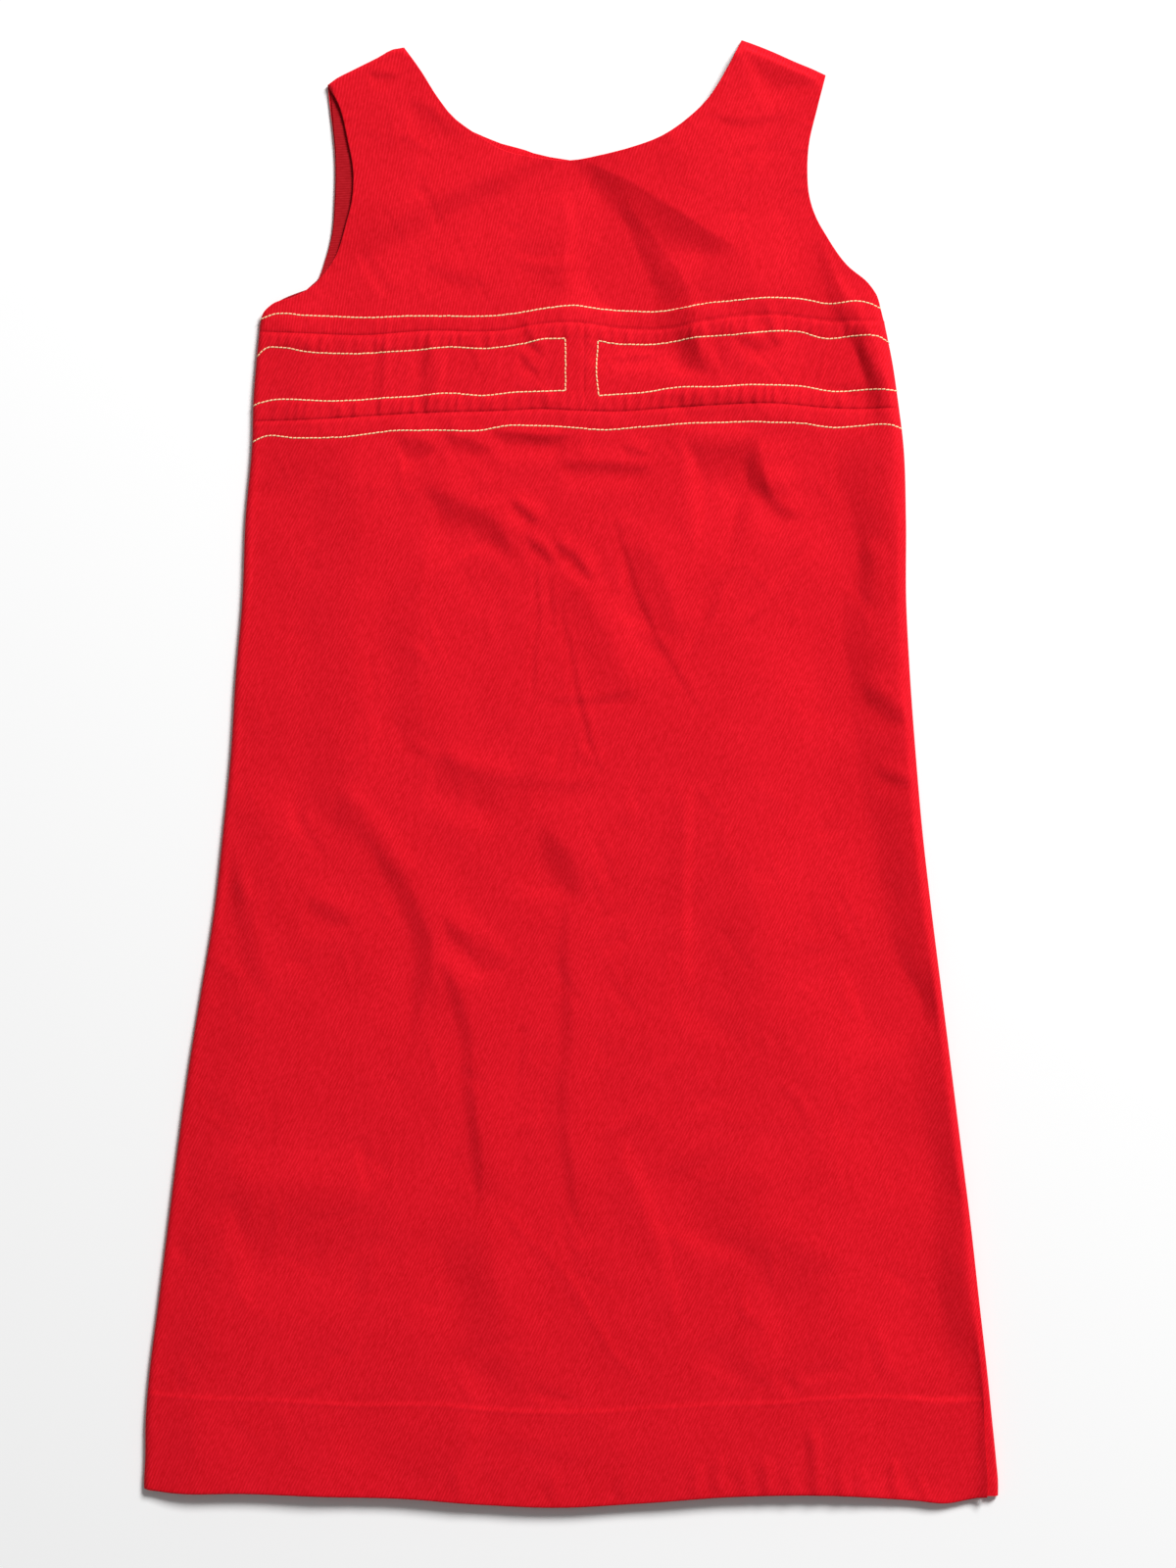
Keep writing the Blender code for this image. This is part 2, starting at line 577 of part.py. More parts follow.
def make_front_skirt():
    """Front panel below the chest band, down to the turned-up hem."""
    left_ys = side_levels(False)
    right_ys = side_levels(True)
    shares = (left_ys - left_ys[0]) / (left_ys[-1] - left_ys[0])
    left = np.stack([side_x(left_ys, False), left_ys], axis=1)
    strip = turned_edge(turn_of(strip_width(right_ys)) + SEAM_GAP / 2)[0]
    right = np.stack([side_x(right_ys, True) - strip, right_ys], axis=1)
    hem_xs = np.linspace(left[0, 0], right[0, 0], SKIRT_COLUMNS + 1)
    bottom = np.stack([hem_xs, hem_y(hem_xs)], axis=1)
    left[0], right[0] = bottom[0], bottom[-1]
    top = seam_line(np.linspace(left[-1, 0], right[-1, 0], SKIRT_COLUMNS + 1), False, -SEAM_GAP / 2)
    left[-1], right[-1] = top[0], top[-1]
    plan = coons(bottom, top, left, right, shares)
    for side in ("left", "right"):
        plan = add_turn_lines(plan, side)
    outer, inner = front_wall(plan)
    wall_mesh("front_skirt", outer, inner, cloth_material("skirt_twill", TWILL_RED, TWILL_ROUGHNESS))


def hidden_armhole():
    """Right armhole edge of the back, just inside the front's and joined to it at both ends."""
    path = smooth_path(RIGHT_ARMHOLE_FRONT, ARMHOLE_SAMPLES)
    slope = np.gradient(path, axis=0)
    inward = np.stack([-slope[:, 1], slope[:, 0]], axis=1) / np.hypot(*slope.T)[:, None]
    share = np.linspace(0, 1, len(path))
    foot_fade, shoulder_fade = HIDDEN_BACK_FADES
    depth = HIDDEN_BACK_INSET * ease(share / foot_fade) * ease((1 - share) / shoulder_fade)
    return path + inward * depth[:, None]


def back_plan(right):
    """Plan grid of one half of the back, from the centre-back seam to the side edge."""
    armhole = hidden_armhole() if right else np.array(LEFT_ARMHOLE_BACK)
    levels = side_levels(right)
    wide = levels[levels > STRIP_TOP_Y]
    ys = np.concatenate([levels[levels <= STRIP_TOP_Y], wide[BACK_ROW_SKIP - 1::BACK_ROW_SKIP]])
    lower = np.stack([side_x(ys, right), ys], axis=1)
    rim = np.concatenate([lower, smooth_path(armhole, BACK_ARMHOLE_ROWS + 1)])
    centre = CENTRE_BACK_X + (SEAM_GAP / 2 if right else -SEAM_GAP / 2)
    centre_top = float(smooth_read(*np.array(BACK_NECK).T, centre))
    if right:
        neck_half = [point for point in BACK_NECK if point[0] > centre + NECK_CLEAR]
        neck = smooth_path([(centre, centre_top)] + neck_half, BACK_NECK_COLUMNS + 1)
        top = np.concatenate([neck[:-1], smooth_path(RIGHT_SHOULDER, BACK_STRAP_COLUMNS + 1)])
    else:
        neck_half = [point for point in BACK_NECK if point[0] < centre - NECK_CLEAR]
        neck = smooth_path(neck_half + [(centre, centre_top)], BACK_NECK_COLUMNS + 1)
        top = np.concatenate([smooth_path(LEFT_SHOULDER, BACK_STRAP_COLUMNS + 1)[:-1], neck])
    columns = len(top)
    edge_x = rim[0, 0]
    hem_xs = np.linspace(centre, edge_x, columns) if right else np.linspace(edge_x, centre, columns)
    bottom = np.stack([hem_xs, hem_y(hem_xs)], axis=1)
    level = (rim[:, 1] - rim[0, 1]) / (rim[-1, 1] - rim[0, 1])
    hem_middle = float(hem_y(centre))
    middle_ys = hem_middle + (centre_top - hem_middle) * level
    middle_ys[:HEM_ROWS + 2] = hem_middle + rim[:HEM_ROWS + 2, 1] - rim[0, 1]
    middle = np.stack([np.full(len(rim), centre), middle_ys], axis=1)
    if right:
        return coons(bottom, top, middle, rim, level)
    return coons(bottom, top, rim, middle, level)


def make_back_half(right):
    """One half of the back: flat on the surface, its side edge turned up to the side seam."""
    plan = back_plan(right)
    rim = plan[:, -1] if right else plan[:, 0]
    slope = np.gradient(rim, axis=0)
    inward = np.stack([-slope[:, 1], slope[:, 0]], axis=1) / np.hypot(*slope.T)[:, None]
    if not right:
        inward = -inward
    inward[0] = (-1 if right else 1, 0)
    strip = turn_of(strip_width(rim[:, 1])) if right else np.zeros(len(rim))
    start = -TURN_LOW * math.pi / 2
    steps = STRIP_TURN_COLUMNS if right else BACK_TURN_COLUMNS
    share = np.linspace(0, 1, steps + 1)[None, :]
    along = start + (strip - SEAM_GAP / 2 - start)[:, None] * share
    inset, height, lean = turned_edge(along)
    out_plan = rim[:, None] + inward[:, None] * inset[..., None]
    in_plan = out_plan + inward[:, None] * (CLOTH_WALL * np.cos(lean))[..., None]
    in_height = height - CLOTH_WALL * np.sin(lean)
    in_height = np.where(along < 0, np.minimum(in_height, TURN_LOW - SEAM_GAP / 2), in_height)
    turn_outer = np.concatenate([out_plan, height[..., None]], axis=-1)
    turn_inner = np.concatenate([in_plan, in_height[..., None]], axis=-1)
    flat = plan[:, :-1] if right else plan[:, 1:]
    hem = hem_share(flat[..., 0], flat[..., 1])
    flat_outer = np.concatenate([flat, np.zeros(flat.shape[:2] + (1,))], axis=-1)
    flat_inner = np.concatenate([flat, (CLOTH_WALL + HEM_LAYER * hem)[..., None]], axis=-1)
    if right:
        outer = np.concatenate([flat_outer, turn_outer], axis=1)
        inner = np.concatenate([flat_inner, turn_inner], axis=1)
    else:
        outer = np.concatenate([turn_outer[:, ::-1], flat_outer], axis=1)
        inner = np.concatenate([turn_inner[:, ::-1], flat_inner], axis=1)
    name = "back_right" if right else "back_left"
    wall_mesh(name, inner, outer, cloth_material(name + "_twill", TWILL_RED, TWILL_ROUGHNESS))


def make_back_facing(right):
    """Facing inside one half of the back, round the neck and the armhole."""
    plan = back_plan(right)
    plan = plan[-BACK_ARMHOLE_ROWS - 1:].copy()
    edge, next_in = (-1, -2) if right else (0, 1)
    centre = 0 if right else -1
    plan[0, :, 1] = FACING_BOTTOM_Y + FACING_BOTTOM_RISE * np.abs(plan[0, :, 0]) / FACING_BOTTOM_REACH
    side = plan[:, edge]
    step = plan[:, next_in] - side
    share = np.linspace(0, 1, len(side))
    joined = 1 - ease(np.minimum(share, 1 - share) / FACING_JOIN_SHARE)
    depth = FACING_FREE_INSET + (FACING_JOINED_INSET - FACING_FREE_INSET) * joined
    plan[:, edge] = side + step / np.hypot(*step.T)[:, None] * depth[:, None]
    top = plan[-1]
    down = plan[-2] - top
    from_armhole = np.arange(len(top))
    if right:
        from_armhole = from_armhole[::-1]
    depth = np.where(from_armhole <= BACK_STRAP_COLUMNS, FACING_JOINED_INSET, FACING_FREE_INSET)
    plan[-1] = top + down / np.hypot(*down.T)[:, None] * depth[:, None]
    neck_point = -1 - BACK_STRAP_COLUMNS if right else BACK_STRAP_COLUMNS
    beside = neck_point + (1 if right else -1)
    across = plan[-1, beside] - plan[-1, neck_point]
    plan[-1, neck_point] += across / math.hypot(*across) * FACING_JOINED_INSET
    plan[:, centre, 0] += FACING_CENTRE_INSET if right else -FACING_CENTRE_INSET
    base = CLOTH_WALL + SEAM_GAP
    lower = np.concatenate([plan, np.full(plan.shape[:2] + (1,), base)], axis=-1)
    upper = lower + np.array([0, 0, FACING_WALL])
    name = "back_facing_right" if right else "back_facing_left"
    wall_mesh(name, upper, lower, cloth_material(name + "_twill", FACING_RED, FACING_ROUGHNESS))


for old in list(bpy.data.objects):
    bpy.data.objects.remove(old, do_unlink=True)

make_front_yoke()
make_chest_band(False)
make_chest_band(True)
make_front_skirt()
make_back_half(False)
make_back_half(True)
make_back_facing(False)
make_back_facing(True)
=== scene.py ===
"""Looks of the red twill mini dress: fine cloth, creases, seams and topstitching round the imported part.

The visible pieces repeat the part's plan and its lie on the surface at a finer step. Creases, seam
grooves, puckers, the hem's impression and every stitch are shaped here. Sizes are in millimetres
until a mesh is made, apart from places noted in the photo, which to_plan turns into millimetres.
X runs across the dress, Y up towards the neck, Z up from the surface.
"""

import math

import bpy
import numpy as np
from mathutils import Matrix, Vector


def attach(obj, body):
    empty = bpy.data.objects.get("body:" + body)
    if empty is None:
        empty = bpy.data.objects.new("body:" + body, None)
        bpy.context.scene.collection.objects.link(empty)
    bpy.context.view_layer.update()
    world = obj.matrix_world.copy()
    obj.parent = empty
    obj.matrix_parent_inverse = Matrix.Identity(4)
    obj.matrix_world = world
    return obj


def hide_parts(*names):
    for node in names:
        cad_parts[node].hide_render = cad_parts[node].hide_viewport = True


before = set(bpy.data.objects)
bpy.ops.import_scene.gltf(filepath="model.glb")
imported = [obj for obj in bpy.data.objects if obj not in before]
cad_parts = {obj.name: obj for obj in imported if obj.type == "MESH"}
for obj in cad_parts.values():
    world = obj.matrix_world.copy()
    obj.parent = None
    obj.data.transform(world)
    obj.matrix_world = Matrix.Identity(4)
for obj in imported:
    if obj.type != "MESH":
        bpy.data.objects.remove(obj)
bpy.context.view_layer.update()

MM = 0.001

# Places noted in the photo's own steps, of 0.6 mm each, are turned into the dress's frame
PHOTO_STEP = 0.6
PHOTO_MIDDLE_X = 582.75
PHOTO_MIDDLE_Y = 789.0

# Cloth, and how its layers lie on each other
CLOTH_WALL = 1.1
FACING_WALL = 0.9
TURN_LOW = 1.5           # radius of a turned side edge, below the level of the side seam
TURN_HIGH = 3.0          # radius above that level
FREE_DROP = 0.1          # how far a free edge sinks towards the layer below
FREE_DROP_WIDTH = 8.0
PLATEAU = 3.0            # how far the front stands clear of what lies below, away from its edges
PLATEAU_RAMP = 38.0      # distance behind an edge over which it rises
PLATEAU_RIGHT = 2.5      # the right side is a thick bundle, which rises this far at once
PLATEAU_RAMP_RIGHT = 5.0
PLATEAU_RIGHT_X = 165.0
PLATEAU_RIGHT_WIDTH = 25.0
PLATEAU_TOP_Y = 280.0    # from here to the straps the plateau dies out
PLATEAU_TOP_WIDTH = 110.0
LOWEST_SKIRT = 2.4       # lowest that a trough may reach over the back
LOWEST_YOKE = 3.7        # the same over the facing
LOWEST_YOKE_Y = 230.0    # where that sets in, and over what distance
LOWEST_YOKE_WIDTH = 10.0
LOWEST_HEM = 4.15        # the same over the back's hem
LOWEST_ROUNDING = 0.16   # softness of that stop, in square millimetres
INNER_CLEAR = 0.15       # how far the front's inner face stays above the side seam's level
FOLD_START = 3.0         # distance over which folds rise behind a turned edge
EDGE_RADIUS = 0.55       # rounding of a finished free edge
EDGE_DRAW = 0.92         # share of a full round that such an edge is drawn in
HEM_RADIUS = 1.0

# Hem: the cloth is turned up inside
HEM_DEPTH = 60.0
HEM_LAYER = 0.9
HEM_SIDE_START = 4.0
HEM_SIDE_FULL = 10.0
HEM_TOP_RAMP = 2.0
HEM_RAMP = 8.0           # distance above the hem over which it stops to hold the cloth stiff
HEM_CORNER_Y = -443.0

# Where the cut lines run
CENTRE_FRONT_X = 7.9
CENTRE_BACK_X = 1.0
BAND_MIDDLE_Y = 245.0
STRAP_FOOT_X = 112.0     # on the band's seam, the columns below this belong to the neck
FACING_BOTTOM_Y = 244.0
JOIN_FADE = 9.0

# Side edges of the laid dress
SIDES = (
    # y, left x, right x
    (275.4, -190.6, 192.2),
    (251.4, -193.0, 197.0),
    (227.4, -194.8, 200.5),
    (203.4, -195.5, 203.5),
    (155.4, -199.6, 205.3),
    (107.4, -201.5, 205.4),
    (59.4, -205.6, 207.8),
    (11.4, -208.6, 211.3),
    (-36.6, -213.4, 215.5),
    (-84.6, -218.8, 221.0),
    (-132.6, -226.6, 227.0),
    (-180.6, -234.4, 233.0),
    (-228.6, -241.0, 239.0),
    (-276.6, -247.0, 245.0),
    (-324.6, -253.0, 250.3),
    (-372.6, -259.0, 255.7),
    (-396.6, -260.8, 258.1),
    (-420.6, -261.1, 260.5),
    (-435.6, -261.75, 261.75),
    (-443.0, -261.7, 261.7),
)

# Seams above and below the chest band
BAND_SEAMS = (
    # x, upper y, lower y
    (-196.0, 270.6, 215.4),
    (-158.0, 268.8, 216.2),
    (-128.0, 267.8, 218.0),
    (-90.0, 270.4, 220.2),
    (-38.0, 271.2, 221.7),
    (-20.0, 274.6, 222.6),
    (2.0, 276.0, 221.7),
    (30.0, 272.6, 221.2),
    (59.0, 272.4, 223.2),
    (81.0, 276.4, 224.6),
    (124.0, 280.8, 226.2),
    (159.0, 277.2, 223.4),
    (204.0, 277.2, 223.4),
)

# Bottom edge of the hem
HEM_EDGE = (
    # x, y
    (-261.8, -438.4),
    (-247.6, -440.4),
    (-199.6, -441.0),
    (-151.6, -442.8),
    (-103.6, -444.0),
    (-55.6, -447.6),
    (-7.6, -449.4),
    (40.4, -447.0),
    (100.4, -442.8),
    (160.4, -442.2),
    (208.4, -445.2),
    (232.4, -447.0),
    (246.0, -444.3),
    (261.8, -442.6),
)

# Right side seam: near the hem it lies on the front, and a strip of the back shows beside it
SIDE_SEAM_INSET = (
    # y, width of the strip
    (-150.0, 0.0),
    (-230.0, 0.15),
    (-290.0, 1.3),
    (-330.0, 2.5),
    (-367.0, 3.3),
    (-390.0, 4.9),
    (-410.0, 6.3),
    (-443.0, 7.2),
)

# Edges of the bodice, each from left to right or from bottom to top
LEFT_SHOULDER = (
    (-149.3, 421.8), (-144.4, 425.4), (-133.0, 431.4), (-118.6, 438.6), (-109.6, 443.4), (-102.4, 444.9),
)
RIGHT_SHOULDER = (
    (104.5, 449.4), (112.4, 446.6), (124.4, 441.8), (136.4, 436.4), (148.4, 431.4), (156.1, 427.8),
)
FRONT_NECK = (
    (-102.4, 444.9), (-91.6, 429.6), (-81.4, 413.4), (-71.8, 401.4), (-64.2, 395.5), (-55.5, 389.8),
    (-42.2, 381.9), (-20.3, 377.0), (0.8, 375.4), (16.4, 378.0), (38.6, 383.4), (54.8, 389.4),
    (72.2, 401.4), (84.2, 413.4), (92.0, 425.4), (98.6, 437.4), (104.5, 449.4),
)
BACK_NECK = (
    (-102.4, 444.9), (-92.4, 429.0), (-82.2, 412.8), (-72.4, 400.8), (-64.2, 395.3), (-54.0, 390.6),
    (-42.2, 385.9), (-28.2, 382.2), (-20.3, 379.3), (-10.7, 377.5), (1.0, 375.6), (16.8, 376.6),
    (39.0, 382.0), (55.4, 388.0), (73.0, 400.0), (85.2, 412.4), (93.0, 424.8), (99.6, 437.0),
    (104.5, 449.4),
)
LEFT_ARMHOLE_FRONT = (
    (-190.6, 275.4), (-188.8, 281.4), (-182.8, 287.4), (-169.6, 291.8), (-156.6, 300.0), (-149.5, 308.4),
    (-144.8, 315.6), (-138.2, 335.4), (-134.2, 352.0), (-133.5, 367.8), (-136.9, 387.6),
    (-142.9, 410.4), (-149.3, 421.8),
)
LEFT_ARMHOLE_BACK = (
    (-190.6, 275.4), (-188.8, 281.4), (-182.8, 287.4), (-169.6, 291.8), (-157.6, 299.4), (-149.8, 317.4),
    (-146.8, 329.4), (-145.0, 350.0), (-145.0, 383.4), (-146.2, 395.4), (-148.0, 410.4), (-149.3, 421.8),
)
RIGHT_ARMHOLE_FRONT = (
    (192.2, 275.4), (190.4, 281.4), (186.8, 293.4), (182.6, 299.4), (168.8, 311.4), (156.2, 329.4),
    (149.6, 341.4), (145.9, 353.4), (144.7, 368.0), (145.4, 383.4), (150.8, 407.4), (156.1, 427.8),
)

# Lines of topstitching and of the hem's impression, as places noted in the photo
STITCHES_ABOVE = (
    (265, 326), (280, 321), (313, 322), (349, 324), (385, 324.5), (429, 323), (482, 323.5), (531, 320),
    (553, 315.5), (582, 312.5), (620, 316), (669, 318), (696, 315), (725, 310), (766, 306), (802, 304),
    (817, 305), (844, 310), (880, 308), (899, 315),
)
BOX_TOP_LEFT = (
    (262, 364), (271, 356), (288, 355), (318, 360), (376, 361), (410, 359), (458, 355), (497, 356),
    (531, 352), (553, 346.5), (576.5, 346),
)
BOX_TOP_RIGHT = (
    (610.5, 348), (625, 351), (645, 351.5), (681, 350), (710, 345), (749, 342.5), (790, 338),
    (817, 339), (841, 345), (875, 343), (897, 344), (908, 350),
)
BOX_BOTTOM_LEFT = (
    (258, 414.5), (264, 412), (276, 409), (337, 410), (376, 408), (419, 405), (458, 402), (497, 404),
    (531, 400.5), (577, 399.5),
)
BOX_BOTTOM_RIGHT = (
    (611, 404), (657, 401), (681, 397), (730, 395), (778, 393), (814, 394), (848, 399), (894, 397.5),
    (916, 398.5),
)
STITCHES_BELOW = (
    (257.5, 451), (269, 446), (301, 447), (344, 447), (385, 442), (405, 440), (434, 439.5), (494, 439),
    (511, 436), (555, 435), (591, 437.5), (621, 439), (657, 436), (696, 433), (778, 431), (814, 432),
    (848, 436), (875, 435), (914, 435), (921, 437.5),
)
CROSS_STITCHES = {
    # line's name: its stitches left and right of the centre-front seam
    "stitches_above": (STITCHES_ABOVE, STITCHES_ABOVE),
    "box_top": (BOX_TOP_LEFT, BOX_TOP_RIGHT),
    "box_bottom": (BOX_BOTTOM_LEFT, BOX_BOTTOM_RIGHT),
    "stitches_below": (STITCHES_BELOW, STITCHES_BELOW),
}
HEM_IMPRESSION = (
    (151, 1421), (193, 1425), (246, 1427), (277, 1428), (319, 1430.5), (351, 1432.5), (460, 1433.5),
    (493, 1437), (520, 1439), (577, 1440), (619, 1439), (661, 1436), (740, 1432), (797, 1430.5),
    (836, 1427), (883, 1425), (922, 1426), (970, 1429), (1000, 1428),
)

# Creases of the laid front, with places noted in the photo
YOKE_FOLDS = (
    # name, rise of crest, lit width, shaded width, depth of trough, width behind it, crispness, taper, path
    ("crescent", 4.8, 210, 27, 1.8, 46, 0.6, 0.36, (576, 157), (616, 174), (648, 188), (680, 205),
     (712, 225), (742, 248),
     (766, 268)),
    ("drag", 1.7, 60, 30, 4.2, 44, 0.45, 0.22, (634, 196), (660, 232), (682, 264), (696, 290),
     (705, 316), (711, 340), (715, 362), (720, 394)),
    ("drag_hollow", 0.5, 30, 38, 1.2, 26, 0.1, 0.3, (648, 204), (676, 256), (700, 316)),
    ("between_drags", 2.2, 40, 38, 1.0, 20, 0.3, 0.3, (718, 224), (754, 262), (770, 298), (772, 336)),
    ("neck_arc", 1.5, 28, 17, 1.4, 36, 0.1, 0.3, (346, 284), (398, 228), (452, 192), (500, 174),
     (548, 163), (594, 160)),
    ("middle_strip", 1.0, 9, 26, 0.0, 9, 0.4, 0.14, (572, 190), (574, 250), (573, 306)),
    ("left_hollow", 0.4, 16, 10, 0.4, 16, 0.0, 0.14, (434, 262), (468, 274), (504, 294)),
    ("middle_hollow", 0.25, 18, 14, 0.25, 18, 0.0, 0.14, (520, 244), (545, 246), (572, 252)),
    ("left_strap", 0.5, 12, 11, 0.5, 12, 0.1, 0.3, (416, 96), (447, 115), (482, 140)),
    ("left_shoulder", 0.5, 8, 6, 0.5, 9, 0.4, 0.14, (374, 74), (394, 75), (414, 79)),
    ("right_shoulder", 0.6, 9, 16, 1.6, 18, 0.1, 0.4, (756, 50), (800, 64), (842, 88)),
    ("right_strap", 0.5, 18, 7, 0.5, 16, 0.2, 0.3, (710, 114), (754, 117), (806, 116)),
    ("bust", 0.9, 7, 20, 4.6, 60, 0.3, 0.3, (836, 236), (858, 286), (883, 334), (895, 372),
     (900, 412), (904, 452)),
)
BAND_FOLDS = (
    ("first_stroke", 0.8, 7, 6, 0.5, 7, 0.3, 0.14, (389, 330), (391, 380), (391, 432)),
    ("second_stroke", 0.9, 10, 9, 0.6, 9, 0.3, 0.14, (440, 334), (440, 380), (439, 432)),
    ("middle_stroke", 0.7, 9, 6, 0.6, 8, 0.4, 0.14, (534, 322), (546, 342), (556, 364)),
    ("under_seam_left", 0.4, 8, 5, 0.4, 7, 0.4, 0.14, (528, 358), (538, 366), (552, 384)),
    ("box_right_dash", 0.4, 7, 5, 0.5, 7, 0.4, 0.14, (622, 361), (650, 362), (678, 362)),
    ("box_right_shade", 0.7, 9, 9, 0.9, 9, 0.3, 0.2, (742, 345), (770, 345), (800, 346)),
    ("drag_in_band", 1.0, 10, 12, 1.2, 10, 0.4, 0.2, (700, 326), (712, 356), (726, 388)),
    ("under_box", 0.6, 12, 16, 1.3, 18, 0.0, 0.2, (676, 404), (730, 402), (790, 402)),
    ("right_stroke", 0.7, 9, 6, 0.6, 9, 0.5, 0.14, (776, 306), (784, 330), (792, 356)),
    ("bust_in_band", 0.7, 12, 14, 1.2, 14, 0.3, 0.3, (872, 330), (888, 372), (896, 412)),
)
UPPER_SKIRT_FOLDS = (
    ("notch_first", 1.0, 14, 13, 1.1, 11, 0.4, 0.14, (404, 449), (428, 451), (452, 462)),
    ("notch_second", 1.0, 12, 9, 0.9, 10, 0.5, 0.14, (452, 447), (478, 449), (504, 459)),
    ("notch_third", 0.8, 8, 8, 1.3, 12, 0.6, 0.14, (498, 439), (530, 440), (582, 442)),
    ("notch_fourth", 1.0, 12, 7, 0.9, 12, 0.6, 0.14, (566, 469), (600, 474), (634, 476), (668, 482)),
    ("notch_fifth", 0.7, 10, 7, 0.5, 9, 0.5, 0.14, (628, 456), (646, 461), (664, 468)),
    ("block", 0.8, 10, 32, 3.8, 60, 0.2, 0.2, (692, 443), (736, 443), (778, 446)),
    ("block_edge", 1.7, 40, 16, 1.1, 24, 0.6, 0.2, (777, 440), (779, 476), (782, 512)),
    ("block_foot", 0.9, 20, 8, 0.8, 16, 0.5, 0.14, (776, 470), (790, 508), (820, 532)),
    ("wedge", 1.7, 26, 18, 1.5, 30, 0.5, 0.24, (428, 496), (466, 507), (500, 519), (518, 543),
     (524, 574)),
    ("wedge_spur", 1.1, 10, 6, 0.8, 9, 0.5, 0.14, (520, 504), (540, 517), (558, 536)),
    ("wedge_foot", 0.8, 9, 6, 0.6, 9, 0.5, 0.14, (538, 546), (556, 560), (572, 582)),
    ("curl", 1.2, 12, 6, 0.7, 9, 0.6, 0.14, (562, 551), (588, 567), (610, 598)),
    ("first_pin", 0.20, 5, 2.2, 0.28, 5, 0.6, 0.14, (549, 566), (548, 640), (549, 722)),
    ("second_pin", 0.20, 4, 2.2, 0.25, 4, 0.6, 0.14, (565, 578), (563, 612), (565, 660)),
    ("third_pin", 0.32, 7, 2.8, 0.28, 6, 0.5, 0.2, (566, 606), (580, 655), (598, 718), (620, 796)),
    ("pin_floor", 0.30, 7, 3.0, 0.30, 7, 0.6, 0.14, (543, 713), (600, 711), (652, 703)),
    ("bright_facet", 1.7, 21, 26, 0.0, 26, 0.3, 0.14, (572, 576), (612, 641), (654, 716)),
    ("long_pin", 0.34, 9, 3.6, 0.3, 8, 0.5, 0.25, (622, 505), (645, 568), (664, 630), (692, 688),
     (728, 748)),
    ("grey_patch", 1.3, 22, 24, 1.2, 16, 0.4, 0.14, (638, 552), (668, 567), (686, 606), (688, 654)),
    ("first_slant", 0.7, 6, 6, 0.5, 7, 0.4, 0.14, (750, 590), (728, 634), (702, 668)),
    ("second_slant", 0.6, 7, 7, 0.5, 8, 0.4, 0.14, (832, 560), (796, 604), (756, 642)),
    ("side_valley", 1.0, 5, 33, 5.0, 80, -0.4, 0.12, (906, 372), (911, 440), (914, 520), (914, 600),
     (918, 680), (925, 750), (937, 830), (952, 915), (964, 1000), (974, 1070)),
    ("side_spot_first", 1.0, 14, 11, 0.8, 12, 0.2, 0.14, (882, 548), (890, 585), (884, 620)),
    ("side_spot_second", 0.9, 14, 12, 0.7, 14, 0.2, 0.14, (880, 690), (906, 708), (930, 742)),
    ("side_spot_third", 0.7, 10, 7, 0.6, 10, 0.3, 0.14, (886, 784), (910, 792), (936, 804)),
    ("left_panel", 1.3, 44, 36, 1.9, 44, 0.2, 0.14, (363, 436), (366, 560), (364, 700), (358, 866)),
    ("left_panel_edge", 1.5, 40, 24, 1.0, 40, 0.5, 0.2, (428, 540), (430, 640), (431, 782)),
    ("step", 0.45, 26, 9, 0.4, 14, 0.2, 0.2, (430, 757), (466, 778), (505, 787), (560, 792), (628, 796)),
    ("step_hollow", 1.1, 16, 20, 1.0, 16, 0.2, 0.14, (440, 770), (482, 790), (530, 800)),
)
